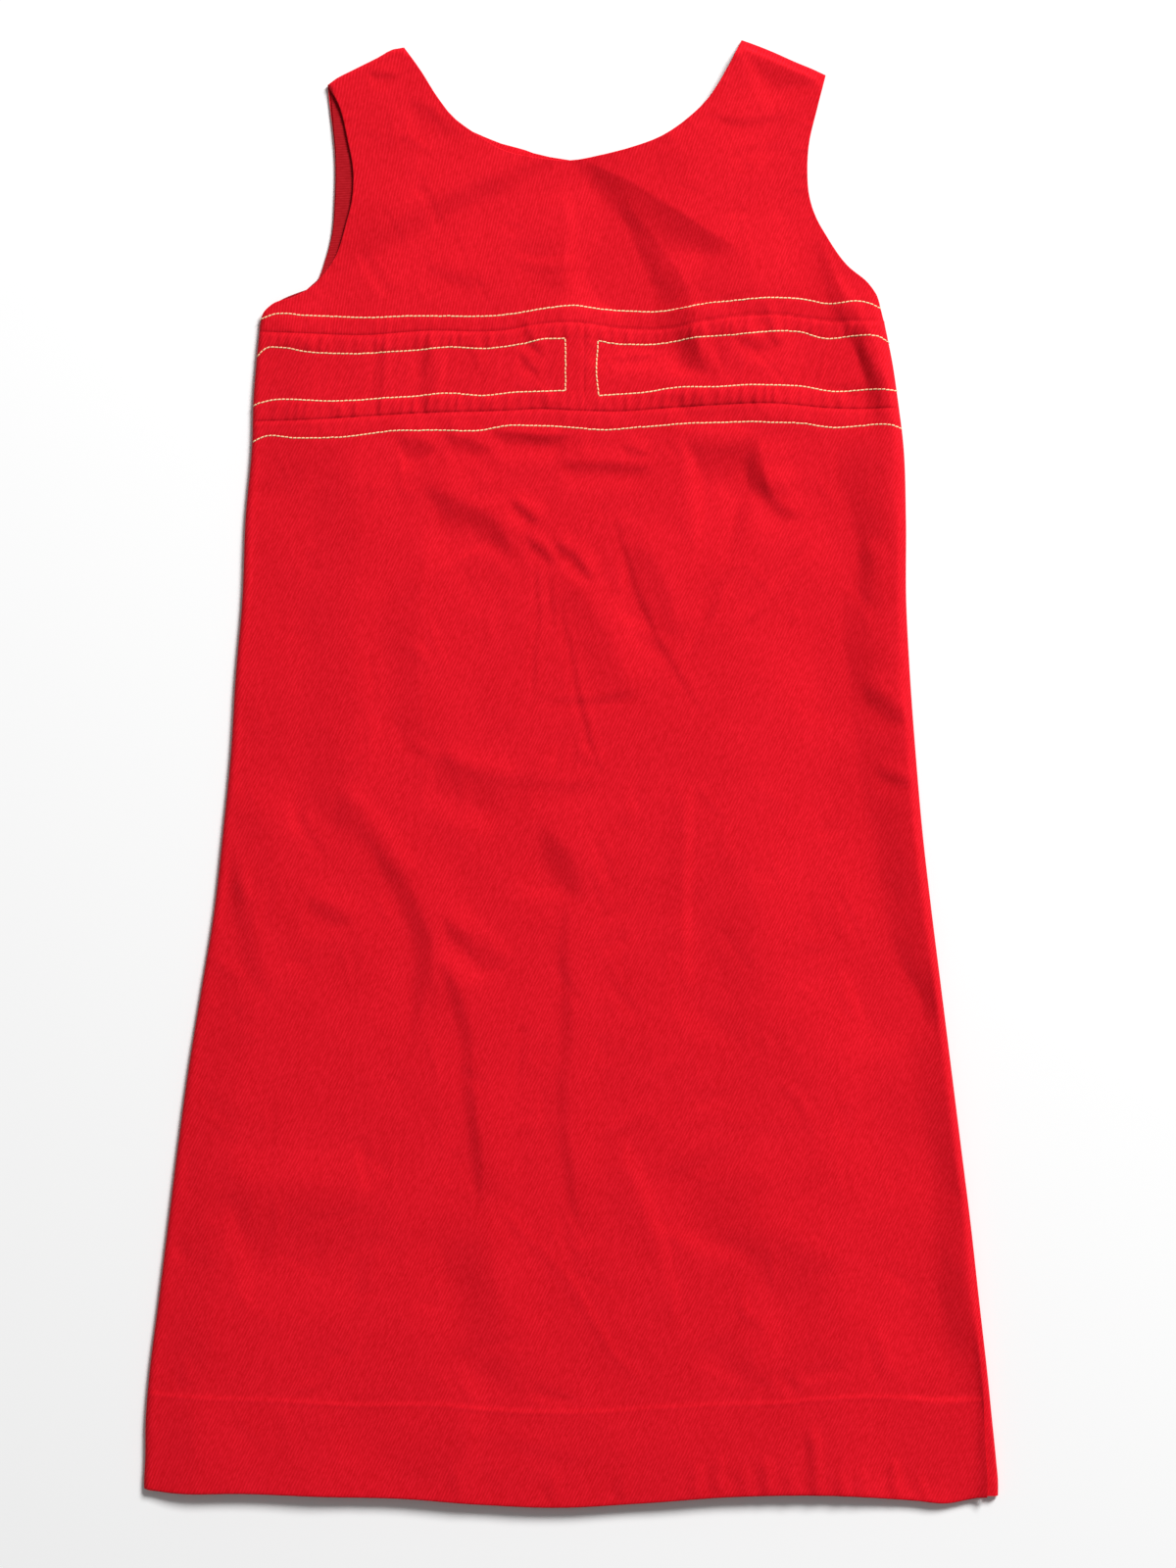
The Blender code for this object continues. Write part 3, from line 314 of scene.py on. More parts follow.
LOWER_SKIRT_FOLDS = (
    ("spindle", 1.7, 36, 15, 1.2, 30, 0.3, 0.34, (366, 836), (398, 876), (424, 914), (437, 950),
     (440, 988), (434, 1026),
     (422, 1078)),
    ("spindle_ridge", 1.1, 12, 16, 0.0, 16, 0.3, 0.14, (346, 800), (386, 846), (426, 906)),
    ("leaf", 1.0, 15, 12, 0.9, 14, 0.3, 0.14, (448, 930), (482, 952), (514, 992)),
    ("left_blob", 0.6, 14, 12, 0.6, 14, 0.2, 0.14, (306, 914), (334, 923), (362, 944)),
    ("left_streak", 0.5, 12, 11, 0.5, 13, 0.2, 0.14, (238, 862), (252, 918), (268, 974), (284, 1026)),
    ("blot", 1.2, 26, 18, 1.3, 26, 0.2, 0.3, (546, 832), (572, 858), (592, 892), (598, 932)),
    ("middle_band", 0.9, 22, 9, 0.5, 20, 0.3, 0.2, (584, 898), (583, 980), (582, 1060), (584, 1150),
     (588, 1268)),
    ("long_line", 1.5, 30, 9, 0.5, 18, 0.5, 0.14, (446, 972), (472, 1020), (484, 1064), (487, 1120),
     (489, 1180),
     (491, 1236)),
    ("long_band", 1.3, 30, 30, 1.0, 26, 0.3, 0.2, (490, 1210), (504, 1270), (512, 1320), (518, 1370),
     (526, 1432)),
    ("thread_ridge", 0.42, 3.2, 8, 0.0, 8, 0.6, 0.14, (496, 1218), (535, 1254), (566, 1285),
     (598, 1330), (628, 1378),
     (668, 1418)),
    ("bright_slant", 1.0, 11, 26, 0.0, 26, 0.6, 0.25, (630, 1146), (652, 1228), (672, 1300), (692, 1366)),
    ("bright_line", 1.0, 7, 16, 0.0, 16, 0.6, 0.14, (706, 796), (697, 850), (694, 920), (703, 982)),
    ("line_hollow", 1.2, 36, 34, 1.2, 20, 0.3, 0.25, (764, 862), (769, 960), (768, 1088)),
    ("right_hollow", 1.2, 46, 48, 1.3, 30, 0.1, 0.25, (776, 1160), (781, 1220), (783, 1290)),
    ("right_hollow_low", 0.9, 34, 38, 1.0, 30, 0.1, 0.3, (752, 1270), (810, 1270), (868, 1281)),
    ("low_patch", 0.7, 18, 24, 0.7, 18, 0.2, 0.3, (774, 1340), (778, 1380), (776, 1422)),
    ("left_low_hollow", 1.3, 30, 48, 1.4, 40, 0.3, 0.14, (224, 1206), (300, 1206), (402, 1214)),
    ("right_lower", 0.6, 5, 28, 4.2, 70, -0.1, 0.14, (956, 950), (964, 1000), (978, 1090),
     (987, 1170), (995, 1250), (1002, 1330), (1009, 1420), (1013, 1490), (1015, 1590)),
    ("corner", 0.2, 4, 13, 2.3, 24, 0.2, 0.3, (1003, 1320), (1010, 1400), (1014, 1470), (1016, 1590)),
    ("crosswise", 0.12, 10, 4, 0.08, 8, 0.2, 0.3, (584, 1146), (700, 1149), (856, 1146)),
    ("hem_shade", 1.0, 12, 56, 1.0, 40, 0.2, 0.5, (480, 1380), (478, 1470), (474, 1560)),
    ("hem_crossing", 0.15, 9, 10, 0.12, 9, 0.1, 0.4, (456, 1466), (520, 1468), (582, 1480), (632, 1496)),
)
HEM_RIPPLES = (
    # x and top y of the place in the photo, height
    (467, 1494, 0.4), (566, 1496, 0.4), (636, 1488, 0.5), (706, 1490, 0.6), (729, 1480, 0.8),
     (755, 1496, 0.5),
    (778, 1484, 0.8), (803, 1494, 0.5), (831, 1448, 1.0), (857, 1494, 0.7), (878, 1488, 0.5),
     (914, 1480, 0.9),
    (941, 1474, 0.9), (963, 1488, 0.6), (993, 1482, 0.8),
)
HEM_RIPPLE_LIT = 7.0
HEM_RIPPLE_SHADED = 7.0
HEM_RIPPLE_BOTTOM = 1534  # y in the photo of the place where they all end
HEM_RIPPLE_BOW = 1        # how far their middles stand to the right, in the photo
HEM_RIPPLE_DIP = 0.3     # depth of the trough as a share of the height
HEM_RIPPLE_CRISP = 0.3

# Small random creases all over the worn cloth
CRINKLES = 720
CRINKLE_SPAN = (262.0, 450.0)   # half the width and half the length that they cover
CRINKLE_CROSSWISE = 0.2  # share of them that runs across the dress
CRINKLE_BEND = 0.012     # strongest curvature
CRINKLE_CRISP = 0.5
CRINKLE_FADE = 1.6       # how fast they reach their height from either end
CRINKLE_SEED = 21
CRINKLE_LENGTHS = (5.0, 24.0)
CRINKLE_WIDTHS = (1.6, 7.0)
CRINKLE_SLOPES = (0.02, 0.09)
HEM_STIFFNESS = 0.6      # share of the small creases that the hem's double cloth hasn't
CRINKLE_LEAN = 0.55      # spread of their directions round the length of the dress, in radians

# Small ticks that run in from the free edges of the bodice
TICK_STEPS = (7.0, 17.0)
TICK_HEIGHT = 0.34
TICK_WIDTH = 1.5
TICK_REACH = 7.0
TICK_CUT = 21.0          # farther in than this there are none
TICK_SHARES = (0.3, 1.0)
TICK_SEED = 61

# Creases of the hidden back, which lies on the surface, as height, width and a path
BACK_CREASES = (
    (0.5, 9, (-150, 330), (-110, 352), (-60, 358)),
    (0.4, 8, (60, 352), (110, 338), (150, 300)),
    (0.5, 10, (-120, 190), (-92, 120), (-86, 40)),
    (0.4, 7, (-60, 150), (-20, 118), (30, 104)),
    (0.5, 10, (110, 170), (92, 90), (100, 10)),
    (0.5, 9, (-140, -60), (-108, -130), (-112, -210)),
    (0.5, 11, (48, -60), (62, -150), (54, -250)),
    (0.4, 8, (150, -90), (168, -170), (190, -250)),
    (0.4, 8, (-60, -250), (-40, -320), (-30, -380)),
    (0.4, 7, (110, -280), (128, -330), (132, -380)),
)
CREASE_FADE = 6.0        # each end of a crease fades out over this length and its taper
CREASE_TAPER = 0.14      # usual taper, as a share of a crease's length
CREASE_STEP = 5.0
CREASE_REACH = 3.0       # a soft ridge ends this many widths away
CREASE_END_WIDTH = 0.6   # width at the ends, as a share of the width in the middle
FOLD_END_WIDTH = 0.25

# Slow waves over the plan that push creases aside and along, and make their height uneven
SWAY_X = (
    # size, length across, length along, phase
    (1.9, 43.0, 19.0, 0.0),
    (0.35, -9.7, 6.1, 0.0),
)
SWAY_Y = (
    (1.9, 23.0, -37.0, 1.7),
    (0.35, 5.3, 8.9, 0.0),
)
UNEVEN_HIGH = ((0.2, 17.0, 41.0, 0.0),)
UNEVEN_LOW = ((1.0, -31.0, 23.0, 0.8),)

# Small relief of worn, washed twill: wavelengths and the slope that each gives
BROAD_WAVES = (30.0, 110.0, 0.014, 16)   # shortest, longest, slope, number
FINE_WAVES = (8.0, 24.0, 0.009, 24)
FRONT_SEED = 1
FACING_SEED = 31

# Seams and what lies beneath them
SEAM_GROOVE = 0.38
CENTRE_GROOVE = 0.24
SEAM_GROOVE_SHADED = 0.8   # width of the groove's side that lies in shade
SEAM_GROOVE_LIT = 1.6
BACK_GROOVE = 0.4
BACK_GROOVE_WIDTH = 0.6
ALLOWANCE_RISE = 0.14
ALLOWANCE_START = 8.0    # it thins out from this distance over the next stretch
ALLOWANCE_RAMP = 5.0
STITCH_SINK = 0.20
STITCH_SINK_WIDTH = 0.9
HEM_PRESS = 0.40         # step in the front over the edge of the hem's turned-up layer
HEM_PRESS_WIDTH = 3.2
HEM_RIDGE = 0.22
HEM_RIDGE_WIDTH = 1.7
HEM_RIDGE_SHARES = (
    # x, share of the ridge's height
    (-262, 0.5), (-165, 0.9), (-150, 1.2), (-100, 0.8), (-60, 1.2), (-35, 1.2), (20, 0.7), (100, 0.7),
    (118, 1.1), (175, 1.1), (215, 0.7), (262, 0.6),
)

# Puckers between the topstitching and the seams
PUCKER_STEPS = (4.6, 9.4)
PUCKER_WIDTHS = (1.3, 2.2)
PUCKER_LEANS = (0.14, 0.42)
PUCKERS = 70
PUCKER_START_X = -200.0
PUCKER_SHARES = (0.25, 1.0)
PUCKER_ENDS = 0.8        # power of the curve by which they die out at both of their lines
PUCKER_ROWS = (
    # line below, line above, strongest height, seed, then x and share of strength
    ("seam_high", "stitches_above", 0.50, 11, ((-195, 0.6), (-150, 1.2), (0, 0.7), (80, 1.0),
     (205, 0.8))),
    ("box_top", "seam_high", 1.10, 12,
     ((-195, 0.5), (-150, 1.2), (-60, 1.2), (15, 0.8), (60, 1.2), (130, 1.0), (180, 1.2), (205, 0.5))),
    ("seam_low", "box_bottom", 1.10, 13,
     ((-195, 0.5), (-150, 1.2), (-70, 1.2), (0, 0.7), (60, 1.3), (150, 1.2), (205, 0.6))),
    ("box_bottom", "box_top", 0.45, 15,
     ((-195, 0.4), (-140, 1.0), (-85, 1.2), (-60, 0.7), (70, 0.6), (150, 0.9), (205, 0.4))),
    ("stitches_below", "seam_low", 0.45, 14, ((-195, 0.7), (0, 1.0), (205, 0.9))),
)

# Topstitching
STITCH_PITCH = 2.55
STITCH_LENGTH = 2.38
STITCH_WIDTH = 0.86
STITCH_HEIGHT = 0.48
STITCH_LIFT = 0.18        # the thread's middle above the cloth
STITCH_DIP = 0.34         # how far its ends go down
STITCH_SLANT = 0.10
STITCH_TURNS = 0.035      # spread of their directions
STITCH_STRAY = 0.06       # spread of their places beside the line
STITCH_SWING = 0.16       # slow swing of the line, and how many stitches make one radian of it
STITCH_SWING_LENGTH = 2.3
STITCH_SHARES = (0.92, 1.08)
STITCH_TILT_REACH = 0.3   # the cloth's tilt is read this far beside the thread
STITCH_END_GIRTH = 0.2    # square of the thread's girth at its ends
STITCH_RINGS = 9
STITCH_SIDES = 6
STITCH_LINE_POINTS = 800
STITCH_LOOK = 0.6         # a stitch's direction is read between two places this far away
BOX_END_X = (577, 610)    # x in the photo of the two stitched boxes' ends beside the centre-front seam
BOX_END_BOWS = (0.5, -2.5)
STITCH_SEED = 41

# Hidden back: its edges, its creases and the facing
HIDDEN_INSET = 2.0        # the right armhole of the back lies this far inside the front's
HIDDEN_FADES = (0.25, 0.15)   # shares of its length over which that sets in and dies out
ARMHOLE_POINTS = 60
BACK_EDGE_POINTS = 90
NECK_POINT_CLEAR = 0.5    # a point of the neck this near to the centre-back seam is the seam's own
BACK_CREASE_START = 3.0   # creases set in this far inside the side edge
BACK_CREASE_RAMP = 12.0
BACK_LIFT = 0.5           # creases lift the back by at most this share of its wall
TURN_CLEAR = 0.1          # the back's inner face stays this far below the side seam's level
FACING_BASE = 1.5         # level on which the facing lies
FACING_DIP = 0.1          # farthest that its upper face dips
FACING_OVERLAP = 0.05     # how far its underside lies below that level
FACING_WAVE = ((0.22, 60.0, 17.0, 0.0),)
FACING_CURVE = 8.0        # its bottom edge rises by this much towards the sides, this far out
FACING_CURVE_X = 190.0
FACING_JOIN = 0.2         # share of its side edge that is joined at either end
FACING_INSET = 0.8        # its side edge lies this far inside the back's
FACING_INSET_JOINED = 1.0  # and this much more where joined
FACING_BELOW_STRAP = 1.8  # its top edge lies this far below the back's
FACING_BELOW_NECK = 4.0
FACING_PULL = 6           # power of the curve by which an inset fades out inwards
FACING_CENTRE_GAP = 1.0

# Mesh steps
EDGE_STEPS = (0.12, 0.40, 0.80)  # distances behind an edge that get a line of points
EDGE_ROOM = 0.9          # share of the first mesh step that these lines may take
STRAP_COLUMNS = 50
NECK_COLUMNS = 180
YOKE_ROWS = 160
BAND_COLUMNS = 190
BAND_ROWS = 62
SKIRT_COLUMNS = 290
SKIRT_ROWS = (26, 20, 218, 29)   # in the hem, at its impression, in the panel and below the band
IMPRESSION_REACH = 9.0
SKIRT_TOP_REACH = 30.0
BACK_ROWS = (22, 6, 150)         # in the hem, at its edge and above it
BACK_HEM_REACH = (2.0, 3.0)
BACK_STRAP_COLUMNS = 22
BACK_NECK_COLUMNS = 64
BACK_ARMHOLE_ROWS = 60
BACK_TURN_COLUMNS = 6
STRIP_TURN_COLUMNS = 12
INNER_SKIP = 5           # the hidden inner face of a piece has one point for this many
RIM_STEP = 4.0
PATH_DETAIL = 40         # points read for each given one when a path is spaced evenly
CORNER_ROUNDS = 5        # tries that bring a seam and a side edge together
SHARP_ANGLE = 60.0
BACK_SHARP_ANGLE = 50.0

# Looks of the cloth and the thread
RED = (0.680, 0.0019, 0.0098)
# The facing's red is darker than the cloth's red: painted shade of its recess under the front's edge
FACING_SHADE_RED = (0.40, 0.0025, 0.008)
CREAM_COLOUR = (0.94, 0.62, 0.34)
TWILL_LEAN = 65.0        # of the ribs, in degrees from the horizontal
YOKE_LEAN = 74.0
YOKE_BEND = -0.0008      # how fast the yoke's ribs turn away from YOKE_LEAN
FACING_LEAN = 3.0
FACING_RIBS = 0.9        # strength of the facing's ribs beside the twill's
TWILL_PITCH = 1.75
FACING_PITCH = 1.5
TWILL_BEND_Y = 0.34      # height in metres at which they lean so in the middle of the dress
RIB_POWER = 2.0
RIB_WEIGHT = 0.80
RIB_SHOWN = (1.6, -0.1)  # ribs show where the streaks are strong: factor and offset
DRIFT_NOISE = (45.0, 2.0, 0.5)   # scale, detail and roughness, as for each noise
DRIFT_WEIGHT = 1.6       # how far the ribs stray, in millimetres
STREAK_NOISE = (1.0, 3.0, 0.65)
STREAK_STRETCH = (0.85, 0.26, 0.85)
STREAK_WEIGHT = 1.1
YARN_NOISE = (900.0, 2.0, 0.6)
YARN_WEIGHT = 0.35
CLOUD_NOISE = (28.0, 3.0, 0.55)
CLOUD_WEIGHT = 0.25
TWILL_BASE = 0.25
# Along the ribs and streaks the light paint is partly painted highlight on the raised yarn and the dark
# paint partly painted shade between them; the rest is the yarn's own uneven tone
TWILL_DARK = (0.81, 0.4, 0.6)    # darkest and lightest paint, as shares of the cloth's colour
TWILL_LIGHT = (1.18, 3.9, 2.3)
THREAD_NOISE = (700.0, 2.0, 0.5)
THREAD_DARK = (0.92, 0.86, 0.76)
THREAD_LIGHT = (1.12, 1.2, 1.35)

# Floor, light and camera, in metres and watts
FLOOR_REACH = 4.0
FLOOR_DROP = 0.0003
WORLD_STRENGTH = 0.21
KEY_PLACE = (2.80, 4.00, 3.82)
KEY_SIZE = 2.0
KEY_POWER = 548.0
CAMERA_PLACE = (0.01035, -0.0066, 2.4045)
LENS = 90.0


def smooth_read(xs, ys, x):
    """Reads a smooth curve through (xs, ys) at x; the ends run on straight."""
    xs = np.asarray(xs, float)
    ys = np.asarray(ys, float)
    slopes = np.gradient(ys, xs)
    x = np.asarray(x, float)
    i = np.clip(np.searchsorted(xs, x) - 1, 0, len(xs) - 2)
    span = xs[i + 1] - xs[i]
    t = np.clip((x - xs[i]) / span, 0, 1)
    past = x - np.clip(x, xs[0], xs[-1])
    end_slope = np.where(past < 0, slopes[0], slopes[-1])
    blend = t * t * (3 - 2 * t)
    curve = ys[i] * (1 - blend) + ys[i + 1] * blend
    curve = curve + span * (slopes[i] * t * (1 - t) ** 2 - slopes[i + 1] * t * t * (1 - t))
    return curve + past * end_slope


def path_places(points):
    """Distance of each point of a path from its start."""
    return np.concatenate([[0], np.cumsum(np.hypot(*np.diff(np.asarray(points, float), axis=0).T))])


def smooth_path(points, count):
    """Evenly spaced points along a smooth curve through the given points."""
    points = np.asarray(points, float)
    chord = path_places(points)
    fine = np.linspace(0, chord[-1], PATH_DETAIL * len(points))
    curve = np.stack([smooth_read(chord, column, fine) for column in points.T], axis=1)
    length = path_places(curve)
    places = np.linspace(0, length[-1], count)
    return np.stack([np.interp(places, length, column) for column in curve.T], axis=1)


def path_length(points):
    """Length of a path through the given points."""
    return float(path_places(points)[-1])


def ease(x):
    """Goes smoothly from 0 at x = 0 to 1 at x = 1."""
    x = np.clip(x, 0, 1)
    return x * x * (3 - 2 * x)


def side_x(y, right):
    """X of the dress's left or right edge at height y of the plan."""
    table = np.array(SIDES)[::-1]
    return smooth_read(table[:, 0], table[:, 2 if right else 1], y)


def seam_y(x, upper):
    """Y of the seam above or below the chest band."""
    table = np.array(BAND_SEAMS)
    return smooth_read(table[:, 0], table[:, 1 if upper else 2], x)


def hem_y(x):
    """Y of the hem's bottom edge."""
    table = np.array(HEM_EDGE)
    return smooth_read(table[:, 0], table[:, 1], x)


def strip_width(y):
    """Width of the strip of the back that shows beside the right side seam."""
    table = np.array(SIDE_SEAM_INSET)[::-1]
    return np.interp(y, table[:, 0], table[:, 1])


def turn_of(inset):
    """Length along the cloth, from the level of the side seam, of a point this far inside the edge."""
    angle = np.arccos(1 - np.clip(inset, 0, TURN_HIGH) / TURN_HIGH)
    return TURN_HIGH * angle + np.maximum(inset - TURN_HIGH, 0)


def turned_edge(along):
    """Inset, height and lean of the cloth's outer face, by length along the cloth round an edge."""
    low = np.clip(along / TURN_LOW, -math.pi / 2, 0)
    high = np.clip(along / TURN_HIGH, 0, math.pi / 2)
    inset = TURN_LOW * (1 - np.cos(low)) + TURN_HIGH * (1 - np.cos(high))
    inset = inset + np.maximum(-TURN_LOW * math.pi / 2 - along, 0)
    inset = inset + np.maximum(along - TURN_HIGH * math.pi / 2, 0)
    height = TURN_LOW * (1 + np.sin(low)) + TURN_HIGH * np.sin(high)
    return inset, height, low + high


def rim_part(points, joined):
    """Points along one edge of the front, with 1 where it is joined to the back and 0 where free."""
    count = max(3, int(path_length(points) / RIM_STEP))
    path = smooth_path(points, count)
    if joined:
        return path, np.ones(count)
    along = np.linspace(0, path_length(path), count)
    return path, 1 - ease(np.minimum(along, along[-1] - along) / JOIN_FADE)


def side_points(right):
    """Points up one side edge, from the hem to the armhole."""
    column = 2 if right else 1
    rows = [(row[column], row[0]) for row in SIDES][::-1]
    rows[0] = (rows[0][0], float(hem_y(rows[0][0])))
    return rows


def front_rim():
    """Edge of the front from the hem's left corner over the neck to its right corner."""
    parts = [
        rim_part(side_points(False), True),
        rim_part(LEFT_ARMHOLE_FRONT, False),
        rim_part(LEFT_SHOULDER, True),
        rim_part(FRONT_NECK, False),
        rim_part(RIGHT_SHOULDER, True),
        rim_part(RIGHT_ARMHOLE_FRONT[::-1], False),
        rim_part(side_points(True)[::-1], True),
    ]
    points = np.concatenate([path[:-1] for path, _ in parts] + [parts[-1][0][-1:]])
    joined = np.concatenate([weight[:-1] for _, weight in parts] + [parts[-1][1][-1:]])
    return points, joined


RIM_POINTS, RIM_JOINED = front_rim()


def off_piece(x, y, start, end):
    """Offset of points from the nearest place of one straight piece, and that place's share of it."""
    step = end - start
    size = math.hypot(step[0], step[1])
    share = np.clip(((x - start[0]) * step[0] + (y - start[1]) * step[1]) / size ** 2, 0, 1)
    return x - start[0] - share * step[0], y - start[1] - share * step[1], share


def nearest_rim(x, y):
    """Distance to the front's edge, the way out of it, how far it is joined and the place along it."""
    best = np.full(x.shape, np.inf)
    place, out_x, out_y, joined = (np.zeros(x.shape) for _ in range(4))
    passed = 0.0
    for i in range(len(RIM_POINTS) - 1):
        step = RIM_POINTS[i + 1] - RIM_POINTS[i]
        size = math.hypot(step[0], step[1])
        off_x, off_y, share = off_piece(x, y, RIM_POINTS[i], RIM_POINTS[i + 1])
        gap = np.hypot(off_x, off_y)
        closer = gap < best
        best = np.where(closer, gap, best)
        out_x = np.where(closer, -step[1] / size, out_x)
        out_y = np.where(closer, step[0] / size, out_y)
        joined = np.where(closer, RIM_JOINED[i] * (1 - share) + RIM_JOINED[i + 1] * share, joined)
        place = np.where(closer, passed + share * size, place)
        passed += size
    return best, out_x, out_y, joined, place


def coons(bottom, top, left, right, levels=None):
    """Grid of plan points between four edges; rows run from bottom to top, at the given shares."""
    u = np.linspace(0, 1, len(bottom))[None, :, None]
    v = (np.linspace(0, 1, len(left)) if levels is None else levels)[:, None, None]
    across = (1 - u) * left[:, None, :] + u * right[:, None, :]
    along = (1 - v) * bottom[None, :, :] + v * top[None, :, :]
    corners = (1 - v) * ((1 - u) * bottom[0] + u * bottom[-1]) + v * ((1 - u) * top[0] + u * top[-1])
    return across + along - corners


def to_plan(places):
    """Places noted in the photo, as plan points in millimetres."""
    places = np.asarray(places, float)
    return np.stack([(places[:, 0] - PHOTO_MIDDLE_X), (PHOTO_MIDDLE_Y - places[:, 1])], axis=1) * PHOTO_STEP


def line_y(places, x):
    """Y at x of a line of places that runs from left to right."""
    line = to_plan(places)
    return smooth_read(line[:, 0], line[:, 1], x)


def along_path(x, y, path, reach):
    """Points near a path: which they are, their side of it and their share of its length."""
    path = np.asarray(path, float)
    samples = max(8, int(path_length(path) / CREASE_STEP))
    line = smooth_path(path, samples)
    near = (x > line[:, 0].min() - reach) & (x < line[:, 0].max() + reach)
    near &= (y > line[:, 1].min() - reach) & (y < line[:, 1].max() + reach)
    px, py = x[near], y[near]
    best = np.full(px.shape, np.inf)
    side = np.zeros(px.shape)
    along = np.zeros(px.shape)
    for i in range(samples - 1):
        step = line[i + 1] - line[i]
        off_x, off_y, share = off_piece(px, py, line[i], line[i + 1])
        gap = np.hypot(off_x, off_y)
        closer = gap < best
        best = np.where(closer, gap, best)
        side = np.where(closer, np.sign(off_y * step[0] - off_x * step[1]) * gap, side)
        along = np.where(closer, (i + share) / (samples - 1), along)
    return near, side, along, path_length(line)


def fade_ends(along, length, taper):
    """1 along a path and 0 at its ends, over a share of its length and a little more."""
    fade = min(0.5, CREASE_FADE / length + taper)
    return ease(along / fade) * ease((1 - along) / fade)


def slope_share(share, crisp):
    """Share of a slope's height at a share of its width: steep at its start, or at its end if negative."""
    share = np.clip(share, 0, 1)
    steep = 1 - (1 - share) ** 2 if crisp > 0 else share ** 2
    return abs(crisp) * steep + (1 - abs(crisp)) * ease(share)


def one_crease(x, y, path, height, width):
    """Height of one soft ridge over the plan points."""
    total = np.zeros(x.shape)
    near, side, along, length = along_path(x, y, path, CREASE_REACH * width)
    ends = fade_ends(along, length, CREASE_TAPER)
    narrowed = width * (CREASE_END_WIDTH + (1 - CREASE_END_WIDTH) * ends)
    total[near] = height * np.exp(-(side / narrowed) ** 2) * ends
    return total


def one_fold(x, y, path, rise, lit, shaded, dip, behind, crisp, taper):
    """Height of one fold: a crest, a shaded slope to a trough and a gentle slope beyond each of the two.

    The path follows the crest, down the dress or to the right. Light comes from the upper right, so
    the slope to the left of the path or below it lies in shade.
    """
    total = np.zeros(x.shape)
    near, side, along, length = along_path(x, y, path, max(lit, shaded + behind))
    ends = fade_ends(along, length, taper)
    foot = shaded * (FOLD_END_WIDTH + (1 - FOLD_END_WIDTH) * ends)
    beyond = rise * ease(1 - side / lit)
    slope = rise - (rise + dip) * slope_share(-side / foot, crisp)
    past = -dip * ease(1 - (-side - foot) / behind)
    total[near] = np.where(side > 0, beyond, np.where(side > -foot, slope, past)) * ends
    return total


def sway(x, y, rows):
    """Sum of a few slanting waves over the plan."""
    return sum(size * np.sin(x / across + y / along + phase) for size, across, along, phase in rows)


def crinkles(x, y):
    """Height of the small random creases."""
    total = np.zeros(x.shape)
    rng = np.random.default_rng(CRINKLE_SEED)
    span = np.array(CRINKLE_SPAN)
    middles = rng.uniform(-span, span, (CRINKLES, 2))
    leans = rng.normal(0, CRINKLE_LEAN, CRINKLES) + (rng.random(CRINKLES) < CRINKLE_CROSSWISE) * math.pi / 2
    halves = rng.uniform(*CRINKLE_LENGTHS, CRINKLES)
    widths = rng.uniform(*CRINKLE_WIDTHS, (CRINKLES, 2))
    slopes = rng.uniform(*CRINKLE_SLOPES, CRINKLES) * rng.choice((-1, 1), CRINKLES)
    bends = rng.uniform(-CRINKLE_BEND, CRINKLE_BEND, CRINKLES)
    rows = zip(middles, leans, halves, widths, slopes, bends)
    for (middle_x, middle_y), lean, half, (left, right), slope, bend in rows:
        reach = half + max(left, right)
        near = (np.abs(x - middle_x) < reach) & (np.abs(y - middle_y) < reach)
        if not near.any():
            continue
        dx, dy = x[near] - middle_x, y[near] - middle_y
        along = (dx * math.sin(lean) + dy * math.cos(lean)) / half
        across = dx * math.cos(lean) - dy * math.sin(lean) + bend * half * half * along ** 2
        profile = slope_share(1 - np.abs(across) / np.where(across > 0, right, left), CRINKLE_CRISP)
        total[near] += slope * min(left, right) * profile * ease((1 - np.abs(along)) * CRINKLE_FADE)
    return total


def over_hem(x, y):
    """1 over the turned-up hem and 0 above it."""
    return 1 - ease((y - hem_y(x) - HEM_DEPTH) / HEM_RAMP)


def hem_ripple(x, y, place_x, top_y, height):
    """Height of one ripple that stands up from the hem's edge."""
    middle = (place_x + HEM_RIPPLE_BOW, (top_y + HEM_RIPPLE_BOTTOM) / 2)
    path = to_plan(((place_x, top_y), middle, (place_x, HEM_RIPPLE_BOTTOM)))
    return one_fold(x, y, path, height, HEM_RIPPLE_LIT, HEM_RIPPLE_SHADED, HEM_RIPPLE_DIP * height,
                    HEM_RIPPLE_LIT, HEM_RIPPLE_CRISP, CREASE_TAPER)


def front_creases(x, y):
    """Height that the creases add to the laid front."""
    small = crinkles(x, y) * (1 - HEM_STIFFNESS * over_hem(x, y))
    x, y = x + sway(x, y, SWAY_X), y + sway(x, y, SWAY_Y)
    total = np.zeros(x.shape)
    for table in (YOKE_FOLDS, BAND_FOLDS, UPPER_SKIRT_FOLDS, LOWER_SKIRT_FOLDS):
        for _, rise, lit, shaded, dip, behind, crisp, taper, *path in table:
            total += one_fold(x, y, to_plan(path), rise, lit, shaded, dip, behind, crisp, taper)
    for ripple in HEM_RIPPLES:
        total += hem_ripple(x, y, *ripple)
    return total * (1 + sway(x, y, UNEVEN_HIGH) * sway(x, y, UNEVEN_LOW)) + small


def back_creases(x, y):
    """Height that the creases lift the hidden back off the surface."""
    total = np.zeros(x.shape)
    for height, width, *path in BACK_CREASES:
        total += one_crease(x, y, path, height, width)
    return total


def waves(seed, settings):
    """Directions, phases and heights of a set of small waves in the cloth."""
    shortest, longest, slope, number = settings
    rng = np.random.default_rng(seed)
    length = np.exp(rng.uniform(math.log(shortest), math.log(longest), number))
    turn = rng.uniform(0, math.pi, number)
    phase = rng.uniform(0, 2 * math.pi, number)
    height = slope * length / (2 * math.pi) * math.sqrt(2 / number)
    return length, turn, phase, height


